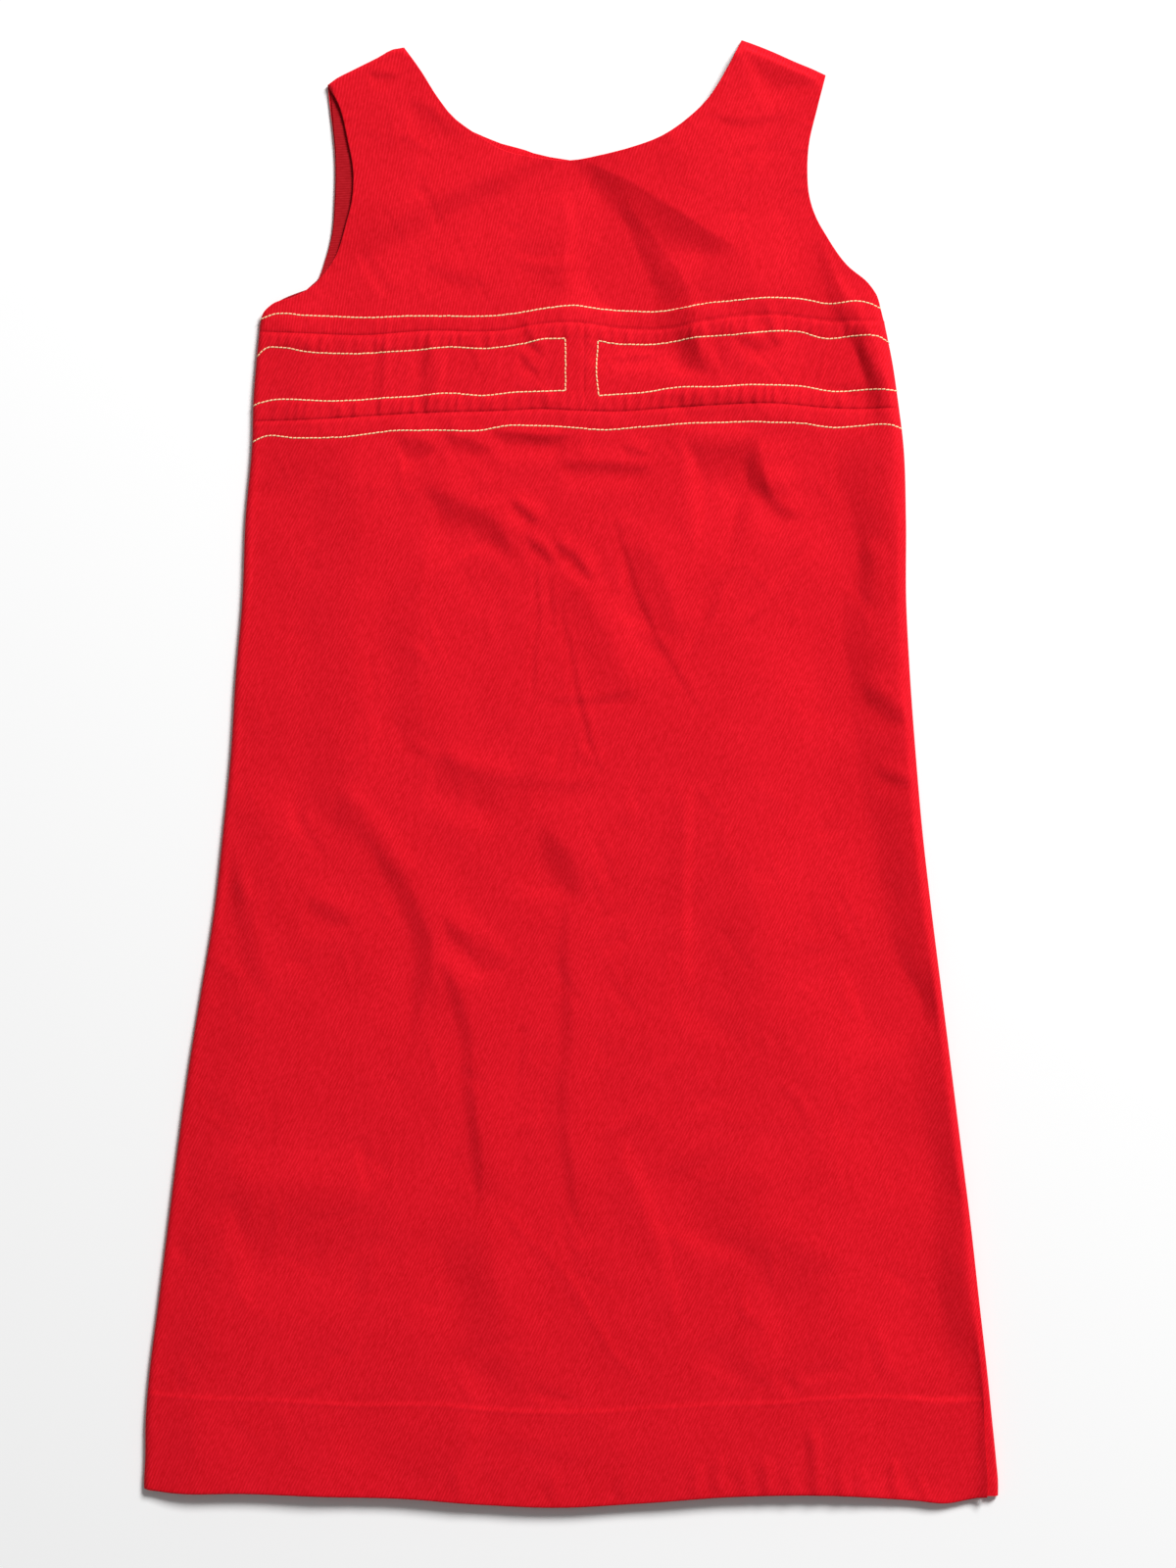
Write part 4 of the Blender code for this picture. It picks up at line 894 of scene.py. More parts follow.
def relief(x, y, seed):
    """Small unevenness of the cloth."""
    total = np.zeros(x.shape)
    for settings in (BROAD_WAVES, FINE_WAVES):
        seed += 1
        for length, turn, phase, height in zip(*waves(seed, settings)):
            along = x * math.cos(turn) + y * math.sin(turn)
            total += height * np.sin(along * 2 * math.pi / length + phase)
    return total


def cross_line(line, x):
    """Y at x of a seam or of a row of topstitching across the band."""
    if line in ("seam_high", "seam_low"):
        return seam_y(x, line == "seam_high")
    left, right = CROSS_STITCHES[line]
    return np.where(x < CENTRE_FRONT_X, line_y(left, x), line_y(right, x))


def puckers(x, y):
    """Ripples where the topstitching has drawn the cloth in."""
    total = np.zeros(x.shape)
    for below, above, height, seed, strength in PUCKER_ROWS:
        low, high = cross_line(below, x), cross_line(above, x)
        share = (y - low) / (high - low)
        near = (share > 0) & (share < 1)
        if not near.any():
            continue
        rng = np.random.default_rng(seed)
        centres = PUCKER_START_X + np.cumsum(rng.uniform(*PUCKER_STEPS, PUCKERS))
        heights = rng.uniform(*PUCKER_SHARES, PUCKERS) * height
        widths = rng.uniform(*PUCKER_WIDTHS, PUCKERS)
        leans = rng.uniform(*PUCKER_LEANS, PUCKERS)
        part = np.zeros(int(near.sum()))
        for centre, rise, width, lean in zip(centres, heights, widths, leans):
            away = x[near] - lean * (y[near] - low[near]) - centre
            part += rise * np.exp(-(away / width) ** 2)
        places, shares = np.array(strength).T
        ends = np.sin(math.pi * share[near]) ** PUCKER_ENDS
        total[near] += part * ends * np.interp(x[near], places, shares)
    return total


def bell(distance, width):
    """1 at no distance, soft, and near 0 at twice the width."""
    return np.exp(-(distance / width) ** 2)


def seam_relief(x, y):
    """Grooves, raised allowances and sunk stitch lines round the band's seams."""
    up = y - seam_y(x, True)
    low = y - seam_y(x, False)
    in_band = (up < 0) & (low > 0)
    centre = np.abs(x - CENTRE_FRONT_X)
    across = np.minimum(np.abs(up), np.abs(low))
    distance = np.where(in_band, np.minimum(across, centre), across)
    rise = ALLOWANCE_RISE * (1 - ease((distance - ALLOWANCE_START) / ALLOWANCE_RAMP))
    shaded_side = np.where(np.abs(up) < np.abs(low), up, low) > 0
    width = np.where(shaded_side, SEAM_GROOVE_SHADED, SEAM_GROOVE_LIT)
    groove = SEAM_GROOVE * bell(across, width)
    width = np.where(x > CENTRE_FRONT_X, SEAM_GROOVE_SHADED, SEAM_GROOVE_LIT)
    groove += np.where(in_band, CENTRE_GROOVE * bell(centre, width), 0)
    left_end, right_end = [(end - PHOTO_MIDDLE_X) * PHOTO_STEP for end in BOX_END_X]
    box_x = np.where(x < CENTRE_FRONT_X, left_end, right_end)
    in_box = np.abs(x - CENTRE_FRONT_X) >= np.abs(box_x - CENTRE_FRONT_X)
    sink = np.zeros(x.shape)
    for name in CROSS_STITCHES:
        stitched = in_box | (not name.startswith("box"))
        sink = np.maximum(sink, np.where(stitched, bell(y - cross_line(name, x), STITCH_SINK_WIDTH), 0))
    inside = (y < cross_line("box_top", x)) & (y > cross_line("box_bottom", x))
    sink = np.maximum(sink, np.where(inside, bell(x - box_x, STITCH_SINK_WIDTH), 0))
    return rise - groove - STITCH_SINK * sink


def hem_relief(x, y):
    """Step and ridge over the edge of the turned-up layer, deeper at some places than at others."""
    away = y - line_y(HEM_IMPRESSION, x)
    step = HEM_PRESS * (1 - ease((away + HEM_PRESS_WIDTH / 2) / HEM_PRESS_WIDTH))
    ridge = HEM_RIDGE * np.interp(x, *np.array(HEM_RIDGE_SHARES).T)
    return step + ridge * bell(away, HEM_RIDGE_WIDTH)


def edge_ticks(gap, joined, place):
    """Small ticks in the cloth along its free edges."""
    total = np.zeros(gap.shape)
    near = (gap < TICK_CUT) & (joined < 1)
    if not near.any():
        return total
    rng = np.random.default_rng(TICK_SEED)
    number = int(path_length(RIM_POINTS) / TICK_STEPS[0])
    places = np.cumsum(rng.uniform(*TICK_STEPS, number))
    heights = rng.uniform(*TICK_SHARES, number) * TICK_HEIGHT
    part = np.zeros(int(near.sum()))
    for spot, height in zip(places, heights):
        part += height * bell(place[near] - spot, TICK_WIDTH)
    total[near] = part * bell(gap[near], TICK_REACH) * (1 - joined[near])
    return total


def front_face(x, y):
    """Height of the laid front's outer face, with what its edge is like beside each point."""
    gap, out_x, out_y, joined, place = nearest_rim(x, y)
    turned = np.minimum(gap, TURN_HIGH)
    roll = TURN_HIGH - np.sqrt(np.maximum(TURN_HIGH ** 2 - (TURN_HIGH - turned) ** 2, 0))
    sink = FREE_DROP * (1 - ease(gap / FREE_DROP_WIDTH))
    rise = 1 - joined * (1 - ease((gap - TURN_HIGH) / FOLD_START))
    behind = 1 - joined * (1 - ease(gap / TURN_HIGH))
    right = ease((x - PLATEAU_RIGHT_X) / PLATEAU_RIGHT_WIDTH)
    ramp = PLATEAU_RAMP + (PLATEAU_RAMP_RIGHT - PLATEAU_RAMP) * right
    plateau = PLATEAU + (PLATEAU_RIGHT - PLATEAU) * right
    plateau = plateau * ease(gap / ramp) * (1 - ease((y - PLATEAU_TOP_Y) / PLATEAU_TOP_WIDTH))
    base = TURN_LOW + TURN_HIGH + plateau
    yoke = ease((y - LOWEST_YOKE_Y) / LOWEST_YOKE_WIDTH)
    lowest = LOWEST_SKIRT + (LOWEST_YOKE - LOWEST_SKIRT) * yoke
    lowest = lowest + (LOWEST_HEM - LOWEST_SKIRT) * over_hem(x, y)
    clear = base - lowest + front_creases(x, y) + relief(x, y, FRONT_SEED)
    folds = lowest - base + (clear + np.sqrt(clear ** 2 + LOWEST_ROUNDING)) / 2
    height = base - joined * roll - (1 - joined) * sink
    height = height + rise * folds + rise ** 0.5 * puckers(x, y)
    height = height + behind * (seam_relief(x, y) + hem_relief(x, y)) + edge_ticks(gap, joined, place)
    return height, gap, out_x, out_y, joined


def hem_share(x, y):
    """1 inside the turned-up hem and 0 above it, away from the side edges."""
    above = y - hem_y(x)
    inside = np.minimum(x - side_x(y, False), side_x(y, True) - x)
    side = ease((inside - HEM_SIDE_START) / (HEM_SIDE_FULL - HEM_SIDE_START))
    return (1 - ease((above - HEM_DEPTH + HEM_TOP_RAMP / 2) / HEM_TOP_RAMP)) * side


def rounded(distance, radius):
    """How far a face draws back towards the middle of the cloth at its own edge."""
    inside = radius - np.clip(distance, 0, radius)
    return EDGE_DRAW * (radius - np.sqrt(radius ** 2 - inside ** 2))


def front_sheet(plan):
    """Outer and inner faces of the laid front over a grid of plan points."""
    x, y = plan[..., 0], plan[..., 1]
    height, gap, out_x, out_y, joined = front_face(x, y)
    lean = joined * (TURN_HIGH - np.minimum(gap, TURN_HIGH)) / TURN_HIGH
    wall = CLOTH_WALL + HEM_LAYER * hem_share(x, y)
    low = np.maximum(height - wall * np.sqrt(1 - lean ** 2), TURN_LOW + INNER_CLEAR)
    free = (1 - joined) * rounded(gap, EDGE_RADIUS) + rounded(y - hem_y(x), HEM_RADIUS)
    outer = np.stack([x, y, height - free], axis=-1)
    inner = np.stack([x - out_x * wall * lean, y - out_y * wall * lean, low + free], axis=-1)
    return outer, inner


def add_edge_lines(grid, side):
    """Adds lines of points close behind one side of a grid."""
    if side in ("top", "bottom"):
        turned = {"top": "right", "bottom": "left"}[side]
        return add_edge_lines(grid.transpose(1, 0, 2), turned).transpose(1, 0, 2)
    if side == "left":
        return add_edge_lines(grid[:, ::-1], "right")[:, ::-1]
    edge, inner = grid[:, -1], grid[:, -2]
    reach = np.hypot(*(inner - edge).T)[:, None]
    scale = np.minimum(1, EDGE_ROOM * reach / EDGE_STEPS[-1])
    lines = [edge + (inner - edge) * step * scale / reach for step in reversed(EDGE_STEPS)]
    return np.concatenate([grid[:, :-1], np.stack(lines, axis=1), edge[:, None]], axis=1)


def with_edge_lines(grid):
    """The grid with lines of points close behind all its sides."""
    for side in ("left", "right", "top", "bottom"):
        grid = add_edge_lines(grid, side)
    return grid


def kept_lines(count):
    """Which lines of a fine grid the hidden inner face keeps."""
    ends = len(EDGE_STEPS) + 2
    middle = range(ends, count - ends, INNER_SKIP)
    return np.array(sorted({*range(ends), *middle, *range(count - ends, count)}))


def join_strip(faces, fine, coarse, kept):
    """Closes the gap between one side of the fine face and the same side of the coarse one."""
    for k in range(len(kept) - 1):
        first, last = kept[k], kept[k + 1]
        middle = (first + last) // 2
        for i in range(first, last):
            faces.append((fine[i], coarse[k] if i < middle else coarse[k + 1], fine[i + 1]))
        faces.append((fine[middle], coarse[k], coarse[k + 1]))


def grid_faces(grid):
    """Four-sided faces between the numbered points of a grid."""
    corners = [grid[:-1, :-1], grid[:-1, 1:], grid[1:, 1:], grid[1:, :-1]]
    return np.stack(corners, axis=-1).reshape(-1, 4).tolist()


def shell(name, outer, inner, material, sharp=SHARP_ANGLE):
    """One closed sheet of cloth: a fine outer face, a coarser inner one and the edge between them."""
    rows, columns = outer.shape[:2]
    keep_r, keep_c = kept_lines(rows), kept_lines(columns)
    inside = inner[np.ix_(keep_r, keep_c)]
    fine = np.arange(rows * columns).reshape(rows, columns)
    coarse = rows * columns + np.arange(inside.shape[0] * inside.shape[1]).reshape(inside.shape[:2])
    faces = grid_faces(fine) + grid_faces(coarse.T)
    rim = []
    join_strip(rim, fine[0], coarse[0], keep_c)
    join_strip(rim, fine[:, -1], coarse[:, -1], keep_r)
    join_strip(rim, fine[-1, ::-1], coarse[-1, ::-1], (columns - 1 - keep_c)[::-1])
    join_strip(rim, fine[::-1, 0], coarse[::-1, 0], (rows - 1 - keep_r)[::-1])
    faces += [tuple(int(n) for n in face) for face in rim]
    points = np.concatenate([outer.reshape(-1, 3), inside.reshape(-1, 3)]) * MM
    return add_mesh(name, points, faces, material, sharp)


def add_mesh(name, points, faces, material, sharp=None):
    """Makes one smooth object from points in metres."""
    mesh = bpy.data.meshes.new(name)
    mesh.from_pydata(points.tolist(), [], faces)
    mesh.update()
    mesh.materials.append(material)
    mesh.shade_smooth()
    if sharp:
        mesh.set_sharp_from_angle(angle=math.radians(sharp))
    obj = bpy.data.objects.new(name, mesh)
    bpy.context.scene.collection.objects.link(obj)
    return obj


def seam_line(xs, upper):
    """Plan points along a band seam."""
    return np.stack([xs, seam_y(xs, upper)], axis=1)


def side_corner(right, upper):
    """Where a band seam meets a side edge."""
    y = BAND_MIDDLE_Y
    for _ in range(CORNER_ROUNDS):
        x = float(side_x(y, right))
        y = float(seam_y(x, upper))
    return x, y


def stretches(places, counts):
    """Numbers from the first place to the last, with this many from each place to the next."""
    parts = [np.linspace(*ends, count)[:-1] for *ends, count in zip(places, places[1:], counts)]
    return np.concatenate(parts + [places[-1:]])


def yoke_plan():
    """Plan grid of the bodice above the chest band."""
    left_x, left_y = side_corner(False, True)
    right_x, right_y = side_corner(True, True)
    columns = (STRAP_COLUMNS + 1, NECK_COLUMNS + 1, STRAP_COLUMNS + 1)
    xs = stretches((left_x, -STRAP_FOOT_X, STRAP_FOOT_X, right_x), columns)
    top = np.concatenate([
        smooth_path(LEFT_SHOULDER, STRAP_COLUMNS + 1)[:-1],
        smooth_path(FRONT_NECK, NECK_COLUMNS + 1)[:-1],
        smooth_path(RIGHT_SHOULDER, STRAP_COLUMNS + 1),
    ])
    left = smooth_path(((left_x, left_y),) + LEFT_ARMHOLE_FRONT, YOKE_ROWS + 1)
    right = smooth_path(((right_x, right_y),) + RIGHT_ARMHOLE_FRONT, YOKE_ROWS + 1)
    return with_edge_lines(coons(seam_line(xs, True), top, left, right))


def band_plan(right):
    """Plan grid of one half of the chest band."""
    low_x, low_y = side_corner(right, False)
    high_x, high_y = side_corner(right, True)
    side_ys = np.linspace(low_y, high_y, BAND_ROWS + 1)
    side = np.stack([side_x(side_ys, right), side_ys], axis=1)
    bottom = seam_line(np.linspace(low_x, CENTRE_FRONT_X, BAND_COLUMNS + 1), False)
    top = seam_line(np.linspace(high_x, CENTRE_FRONT_X, BAND_COLUMNS + 1), True)
    middle = np.linspace(bottom[-1], top[-1], BAND_ROWS + 1)
    if right:
        plan = coons(bottom[::-1], top[::-1], middle, side)
    else:
        plan = coons(bottom, top, side, middle)
    return with_edge_lines(plan)


def skirt_levels():
    """Shares of the skirt's height at which its rows lie, closer at the hem's edge and the band."""
    low = float(hem_y(side_x(HEM_CORNER_Y, False)))
    high = side_corner(False, False)[1]
    hem = low + HEM_DEPTH
    places = (low, hem - IMPRESSION_REACH, hem + IMPRESSION_REACH, high - SKIRT_TOP_REACH, high)
    return (stretches(places, SKIRT_ROWS) - low) / (high - low)


def skirt_plan():
    """Plan grid of the front panel below the band."""
    shares = skirt_levels()
    sides = []
    for right in (False, True):
        low = float(hem_y(side_x(HEM_CORNER_Y, right)))
        high = side_corner(right, False)[1]
        ys = low + (high - low) * shares
        inset = turned_edge(turn_of(strip_width(ys)))[0] if right else 0 * ys
        sides.append(np.stack([side_x(ys, right) - inset, ys], axis=1))
    left, right = sides
    hem_xs = np.linspace(left[0, 0], right[0, 0], SKIRT_COLUMNS + 1)
    bottom = np.stack([hem_xs, hem_y(hem_xs)], axis=1)
    left[0], right[0] = bottom[0], bottom[-1]
    top = seam_line(np.linspace(left[-1, 0], right[-1, 0], SKIRT_COLUMNS + 1), False)
    left[-1], right[-1] = top[0], top[-1]
    return with_edge_lines(coons(bottom, top, left, right, shares))


def inward_of(path):
    """Direction square to a path, to its left, at each of its points."""
    slope = np.gradient(path, axis=0)
    return np.stack([-slope[:, 1], slope[:, 0]], axis=1) / np.hypot(*slope.T)[:, None]


def hidden_armhole():
    """Right armhole edge of the back, just inside the front's and joined to it at both ends."""
    path = smooth_path(RIGHT_ARMHOLE_FRONT, ARMHOLE_POINTS)
    share = np.linspace(0, 1, len(path))
    depth = HIDDEN_INSET * ease(share / HIDDEN_FADES[0]) * ease((1 - share) / HIDDEN_FADES[1])
    return path + inward_of(path) * depth[:, None]


def back_plan(right):
    """Plan grid of one half of the back, from the centre-back seam to the side edge."""
    armhole = hidden_armhole() if right else np.array(LEFT_ARMHOLE_BACK)
    low = float(hem_y(side_x(HEM_CORNER_Y, right)))
    high = side_corner(right, False)[1]
    hem = low + HEM_DEPTH
    ys = stretches((low, hem - BACK_HEM_REACH[0], hem + BACK_HEM_REACH[1], high), BACK_ROWS)
    lower = np.stack([side_x(ys, right), ys], axis=1)
    rim = np.concatenate([lower, smooth_path(armhole, BACK_ARMHOLE_ROWS + 1)])
    way = 1 if right else -1
    neck_half = [point for point in BACK_NECK if way * (point[0] - CENTRE_BACK_X) > NECK_POINT_CLEAR]
    centre_top = dict(BACK_NECK)[CENTRE_BACK_X]
    if right:
        neck = smooth_path([(CENTRE_BACK_X, centre_top)] + neck_half, BACK_NECK_COLUMNS + 1)
        top = np.concatenate([neck[:-1], smooth_path(RIGHT_SHOULDER, BACK_STRAP_COLUMNS + 1)])
    else:
        neck = smooth_path(neck_half + [(CENTRE_BACK_X, centre_top)], BACK_NECK_COLUMNS + 1)
        top = np.concatenate([smooth_path(LEFT_SHOULDER, BACK_STRAP_COLUMNS + 1)[:-1], neck])
    columns = len(top)
    ends = (CENTRE_BACK_X, rim[0, 0]) if right else (rim[0, 0], CENTRE_BACK_X)
    hem_xs = np.linspace(*ends, columns)
    bottom = np.stack([hem_xs, hem_y(hem_xs)], axis=1)
    level = (rim[:, 1] - rim[0, 1]) / (rim[-1, 1] - rim[0, 1])
    hem_middle = float(hem_y(CENTRE_BACK_X))
    middle_ys = hem_middle + (centre_top - hem_middle) * level
    middle = np.stack([np.full(len(rim), CENTRE_BACK_X), middle_ys], axis=1)
    if right:
        return coons(bottom, top, middle, rim, level)
    return coons(bottom, top, rim, middle, level)


def back_edges(x, y):
    """Distance of plan points to the back's free edges: hem, neck and armhole."""
    gap = y - hem_y(x)
    for path in (BACK_NECK, LEFT_ARMHOLE_BACK, hidden_armhole()):
        line = smooth_path(path, BACK_EDGE_POINTS)
        for start, end in zip(line, line[1:]):
            off_x, off_y, _ = off_piece(x, y, start, end)
            gap = np.minimum(gap, np.hypot(off_x, off_y))
    return gap


def back_half(right, material):
    """One half of the back on the surface, its side edge turned up to the side seam."""
    plan = back_plan(right)
    rim = plan[:, -1] if right else plan[:, 0]
    inward = inward_of(rim) * (1 if right else -1)
    strip = turn_of(strip_width(rim[:, 1])) if right else np.zeros(len(rim))
    start = -TURN_LOW * math.pi / 2
    steps = STRIP_TURN_COLUMNS if right else BACK_TURN_COLUMNS
    along = start + (strip - start)[:, None] * np.linspace(0, 1, steps + 1)[None, :]
    inset, height, lean = turned_edge(along)
    out_plan = rim[:, None] + inward[:, None] * inset[..., None]
    in_plan = out_plan + inward[:, None] * (CLOTH_WALL * np.cos(lean))[..., None]
    in_height = height - CLOTH_WALL * np.sin(lean)
    in_height = np.where(along < 0, np.minimum(in_height, TURN_LOW - TURN_CLEAR), in_height)
    turn_outer = np.concatenate([out_plan, height[..., None]], axis=-1)
    turn_inner = np.concatenate([in_plan, in_height[..., None]], axis=-1)
    plan = add_edge_lines(plan, "left" if right else "right")
    flat = plan[:, :-1] if right else plan[:, 1:]
    x, y = flat[..., 0], flat[..., 1]
    side = np.minimum(x - side_x(y, False), side_x(y, True) - x)
    inside = ease((side - BACK_CREASE_START) / BACK_CREASE_RAMP)
    seam = BACK_GROOVE * bell(x - CENTRE_BACK_X, BACK_GROOVE_WIDTH)
    edge = back_edges(x, y)
    lift = inside * back_creases(x, y) + seam
    lift = np.minimum(lift, CLOTH_WALL * BACK_LIFT) + rounded(edge, EDGE_RADIUS)
    flat_outer = np.stack([x, y, lift], axis=-1)
    top = CLOTH_WALL + HEM_LAYER * hem_share(x, y) - rounded(edge, EDGE_RADIUS)
    flat_inner = np.stack([x, y, top], axis=-1)
    if right:
        outer = np.concatenate([flat_outer, turn_outer], axis=1)
        inner = np.concatenate([flat_inner, turn_inner], axis=1)
    else:
        outer = np.concatenate([turn_outer[:, ::-1], flat_outer], axis=1)
        inner = np.concatenate([turn_inner[:, ::-1], flat_inner], axis=1)
    name = "back_right_cloth" if right else "back_left_cloth"
    return shell(name, outer[:, ::-1], inner[:, ::-1], material, BACK_SHARP_ANGLE)


def back_facing(right, material):
    """Facing inside one half of the back, round the neck and the armhole."""
    plan = back_plan(right)[-BACK_ARMHOLE_ROWS - 1:].copy()
    plan[0, :, 1] = FACING_BOTTOM_Y + FACING_CURVE * np.abs(plan[0, :, 0] / FACING_CURVE_X)
    rows, columns = plan.shape[:2]
    edge, next_in, centre = (-1, -2, 0) if right else (0, 1, -1)
    up = np.linspace(0, 1, rows)
    joined = 1 - ease(np.minimum(up, 1 - up) / FACING_JOIN)
    side = plan[:, next_in] - plan[:, edge]
    side_depth = FACING_INSET + FACING_INSET_JOINED * joined
    side_move = side / np.hypot(*side.T)[:, None] * side_depth[:, None]
    from_edge = np.linspace(1, 0, columns) if right else np.linspace(0, 1, columns)
    on_strap = from_edge <= BACK_STRAP_COLUMNS / (columns - 1)
    down = plan[-2] - plan[-1]
    down_depth = np.where(on_strap, FACING_BELOW_STRAP, FACING_BELOW_NECK)
    down_move = down / np.hypot(*down.T)[:, None] * down_depth[:, None]
    plan = plan + side_move[:, None] * ((1 - from_edge) ** FACING_PULL)[None, :, None]
    plan = plan + down_move[None] * (up ** FACING_PULL)[:, None, None]
    plan[:, centre, 0] += FACING_CENTRE_GAP if right else -FACING_CENTRE_GAP
    plan = with_edge_lines(plan)
    x, y = plan[..., 0], plan[..., 1]
    wave = sway(x, y, FACING_WAVE) + relief(x, y, FACING_SEED)
    upper = np.stack([x, y, FACING_BASE + FACING_WALL + np.maximum(wave, -FACING_DIP)], axis=-1)
    lower = np.stack([x, y, np.full(x.shape, FACING_BASE - FACING_OVERLAP)], axis=-1)
    name = "facing_right_cloth" if right else "facing_left_cloth"
    return shell(name, upper, lower, material)


def unit(vectors):
    """The same directions with length 1."""
    return vectors / np.linalg.norm(vectors, axis=-1, keepdims=True)


def stitch_places(line):
    """Centres and directions of the stitches along a plan line."""
    fine = smooth_path(line, STITCH_LINE_POINTS)
    length = path_length(fine)
    along = np.linspace(0, length, len(fine))
    number = max(2, round(length / STITCH_PITCH))
    centres = (np.arange(number) + 0.5) * length / number
    looks = (centres, np.minimum(centres + STITCH_LOOK, length), np.maximum(centres - STITCH_LOOK, 0))
    read = [np.stack([np.interp(look, along, column) for column in fine.T], axis=1) for look in looks]
    place, ahead, behind = read
    return place, unit(ahead - behind)


def stitch_row(name, lines, material, seed):
    """Topstitching along plan lines: one short bent thread for each stitch, its ends in the cloth."""
    rng = np.random.default_rng(seed)
    place, run = [np.concatenate(part) for part in zip(*map(stitch_places, lines))]
    count = len(place)
    slant = STITCH_SLANT + rng.normal(0, STITCH_TURNS, count)
    cos, sin = np.cos(slant), np.sin(slant)
    run = np.stack([run[:, 0] * cos - run[:, 1] * sin, run[:, 0] * sin + run[:, 1] * cos], axis=1)
    side = np.stack([-run[:, 1], run[:, 0]], axis=1)
    swing = STITCH_SWING * np.sin(np.arange(count) / STITCH_SWING_LENGTH)
    place = place + side * (rng.normal(0, STITCH_STRAY, count) + swing)[:, None]
    length = STITCH_LENGTH * rng.uniform(*STITCH_SHARES, count)
    bead = np.linspace(-1, 1, STITCH_RINGS)
    path = place[:, None] + run[:, None] * (bead[None] * length[:, None] / 2)[..., None]
    beside = path + side[:, None] * STITCH_TILT_REACH
    height = front_face(path[..., 0], path[..., 1])[0]
    height_beside = front_face(beside[..., 0], beside[..., 1])[0]
    spine = np.concatenate([path, height[..., None]], axis=-1)
    forward = unit(np.gradient(spine, axis=1))
    across = unit(np.concatenate([beside - path, (height_beside - height)[..., None]], axis=-1))
    normal = unit(np.cross(forward, across))
    girth = np.sqrt(np.clip(1 - bead ** 8, STITCH_END_GIRTH, 1))[None, :, None]
    lift = (STITCH_LIFT - STITCH_DIP * np.abs(bead) ** 5)[None, :, None]
    turn = np.linspace(0, 2 * math.pi, STITCH_SIDES, endpoint=False)
    rings = [spine + normal * (lift + math.sin(t) * girth * STITCH_HEIGHT / 2)
             + across * math.cos(t) * girth * STITCH_WIDTH / 2 for t in turn]
    points = np.stack(rings, axis=2).reshape(-1, 3) * MM
    return add_mesh(name, points, thread_faces(count), material)


def thread_faces(count):
    """Faces of this many threads, each a closed tube of rings of points."""
    one = []
    for k in range(STITCH_RINGS - 1):
        for j in range(STITCH_SIDES):
            a, b = k * STITCH_SIDES + j, k * STITCH_SIDES + (j + 1) % STITCH_SIDES
            one.append((a, b, b + STITCH_SIDES, a + STITCH_SIDES))
    one.append(tuple(reversed(range(STITCH_SIDES))))
    one.append(tuple((STITCH_RINGS - 1) * STITCH_SIDES + j for j in range(STITCH_SIDES)))
    size = STITCH_RINGS * STITCH_SIDES
    return [tuple(n * size + a for a in face) for n in range(count) for face in one]


def box_lines(right):
    """The three lines of the stitched box on one half of the band: top, end and bottom."""
    top, bottom = CROSS_STITCHES["box_top"][right], CROSS_STITCHES["box_bottom"][right]
    high, low = (top[0], bottom[0]) if right else (top[-1], bottom[-1])
    middle = ((high[0] + low[0]) / 2 + BOX_END_BOWS[right], (high[1] + low[1]) / 2)
    return [to_plan(top), to_plan((high, middle, low)), to_plan(bottom)]


def math_node(tree, operation, a, b=None):
    """Adds a maths node and returns its output."""
    made = tree.nodes.new("ShaderNodeMath")
    made.operation = operation
    for k, value in enumerate((a, b)):
        if value is None:
            continue
        if isinstance(value, (int, float)):
            made.inputs[k].default_value = value
        else:
            tree.links.new(value, made.inputs[k])
    return made.outputs[0]


def noise_node(tree, vector, scale, detail, rough=0.5):
    """Adds a noise texture and returns its value, about 0.5 in the middle."""
    made = tree.nodes.new("ShaderNodeTexNoise")
    made.inputs["Scale"].default_value = scale
    made.inputs["Detail"].default_value = detail
    made.inputs["Roughness"].default_value = rough
    tree.links.new(vector, made.inputs["Vector"])
    return made.outputs["Fac"]


def centred(tree, value, weight):
    """Adds nodes that take 0.5 off a value and multiply what is left by a weight."""
    return math_node(tree, "MULTIPLY", math_node(tree, "SUBTRACT", value, 0.5), weight)


def axis_of(tree, vector, axis):
    """Adds a node that splits a vector and returns one of its axes."""
    made = tree.nodes.new("ShaderNodeSeparateXYZ")
    tree.links.new(vector, made.inputs[0])
    return made.outputs[axis]


def mapped(tree, vector, scale, turn=0.0):
    """Adds a mapping node that turns a vector by an angle in degrees round Z and scales it."""
    made = tree.nodes.new("ShaderNodeMapping")
    made.inputs["Rotation"].default_value = (0, 0, math.radians(turn))
    made.inputs["Scale"].default_value = scale
    tree.links.new(vector, made.inputs["Vector"])
    return made.outputs[0]


def tinted(colour, shares):
    """The colour with each of its parts multiplied by its own share, and no part above 1."""
    return (*[min(part * share, 1) for part, share in zip(colour, shares)], 1)


def new_material(name, colour):
    """A material with its node tree and its shader."""
    material = bpy.data.materials.new(name)
    material.use_nodes = True
    material.diffuse_color = (*colour, 1)
    return material, material.node_tree, material.node_tree.nodes["Principled BSDF"]


def mix_paint(tree, shader, share, low, high):
    """Paints the shader with a mix of two colours."""
    paint = tree.nodes.new("ShaderNodeMix")
    paint.data_type = "RGBA"
    tree.links.new(share, paint.inputs["Factor"])
    paint.inputs["A"].default_value = low
    paint.inputs["B"].default_value = high
    tree.links.new(paint.outputs["Result"], shader.inputs["Base Color"])


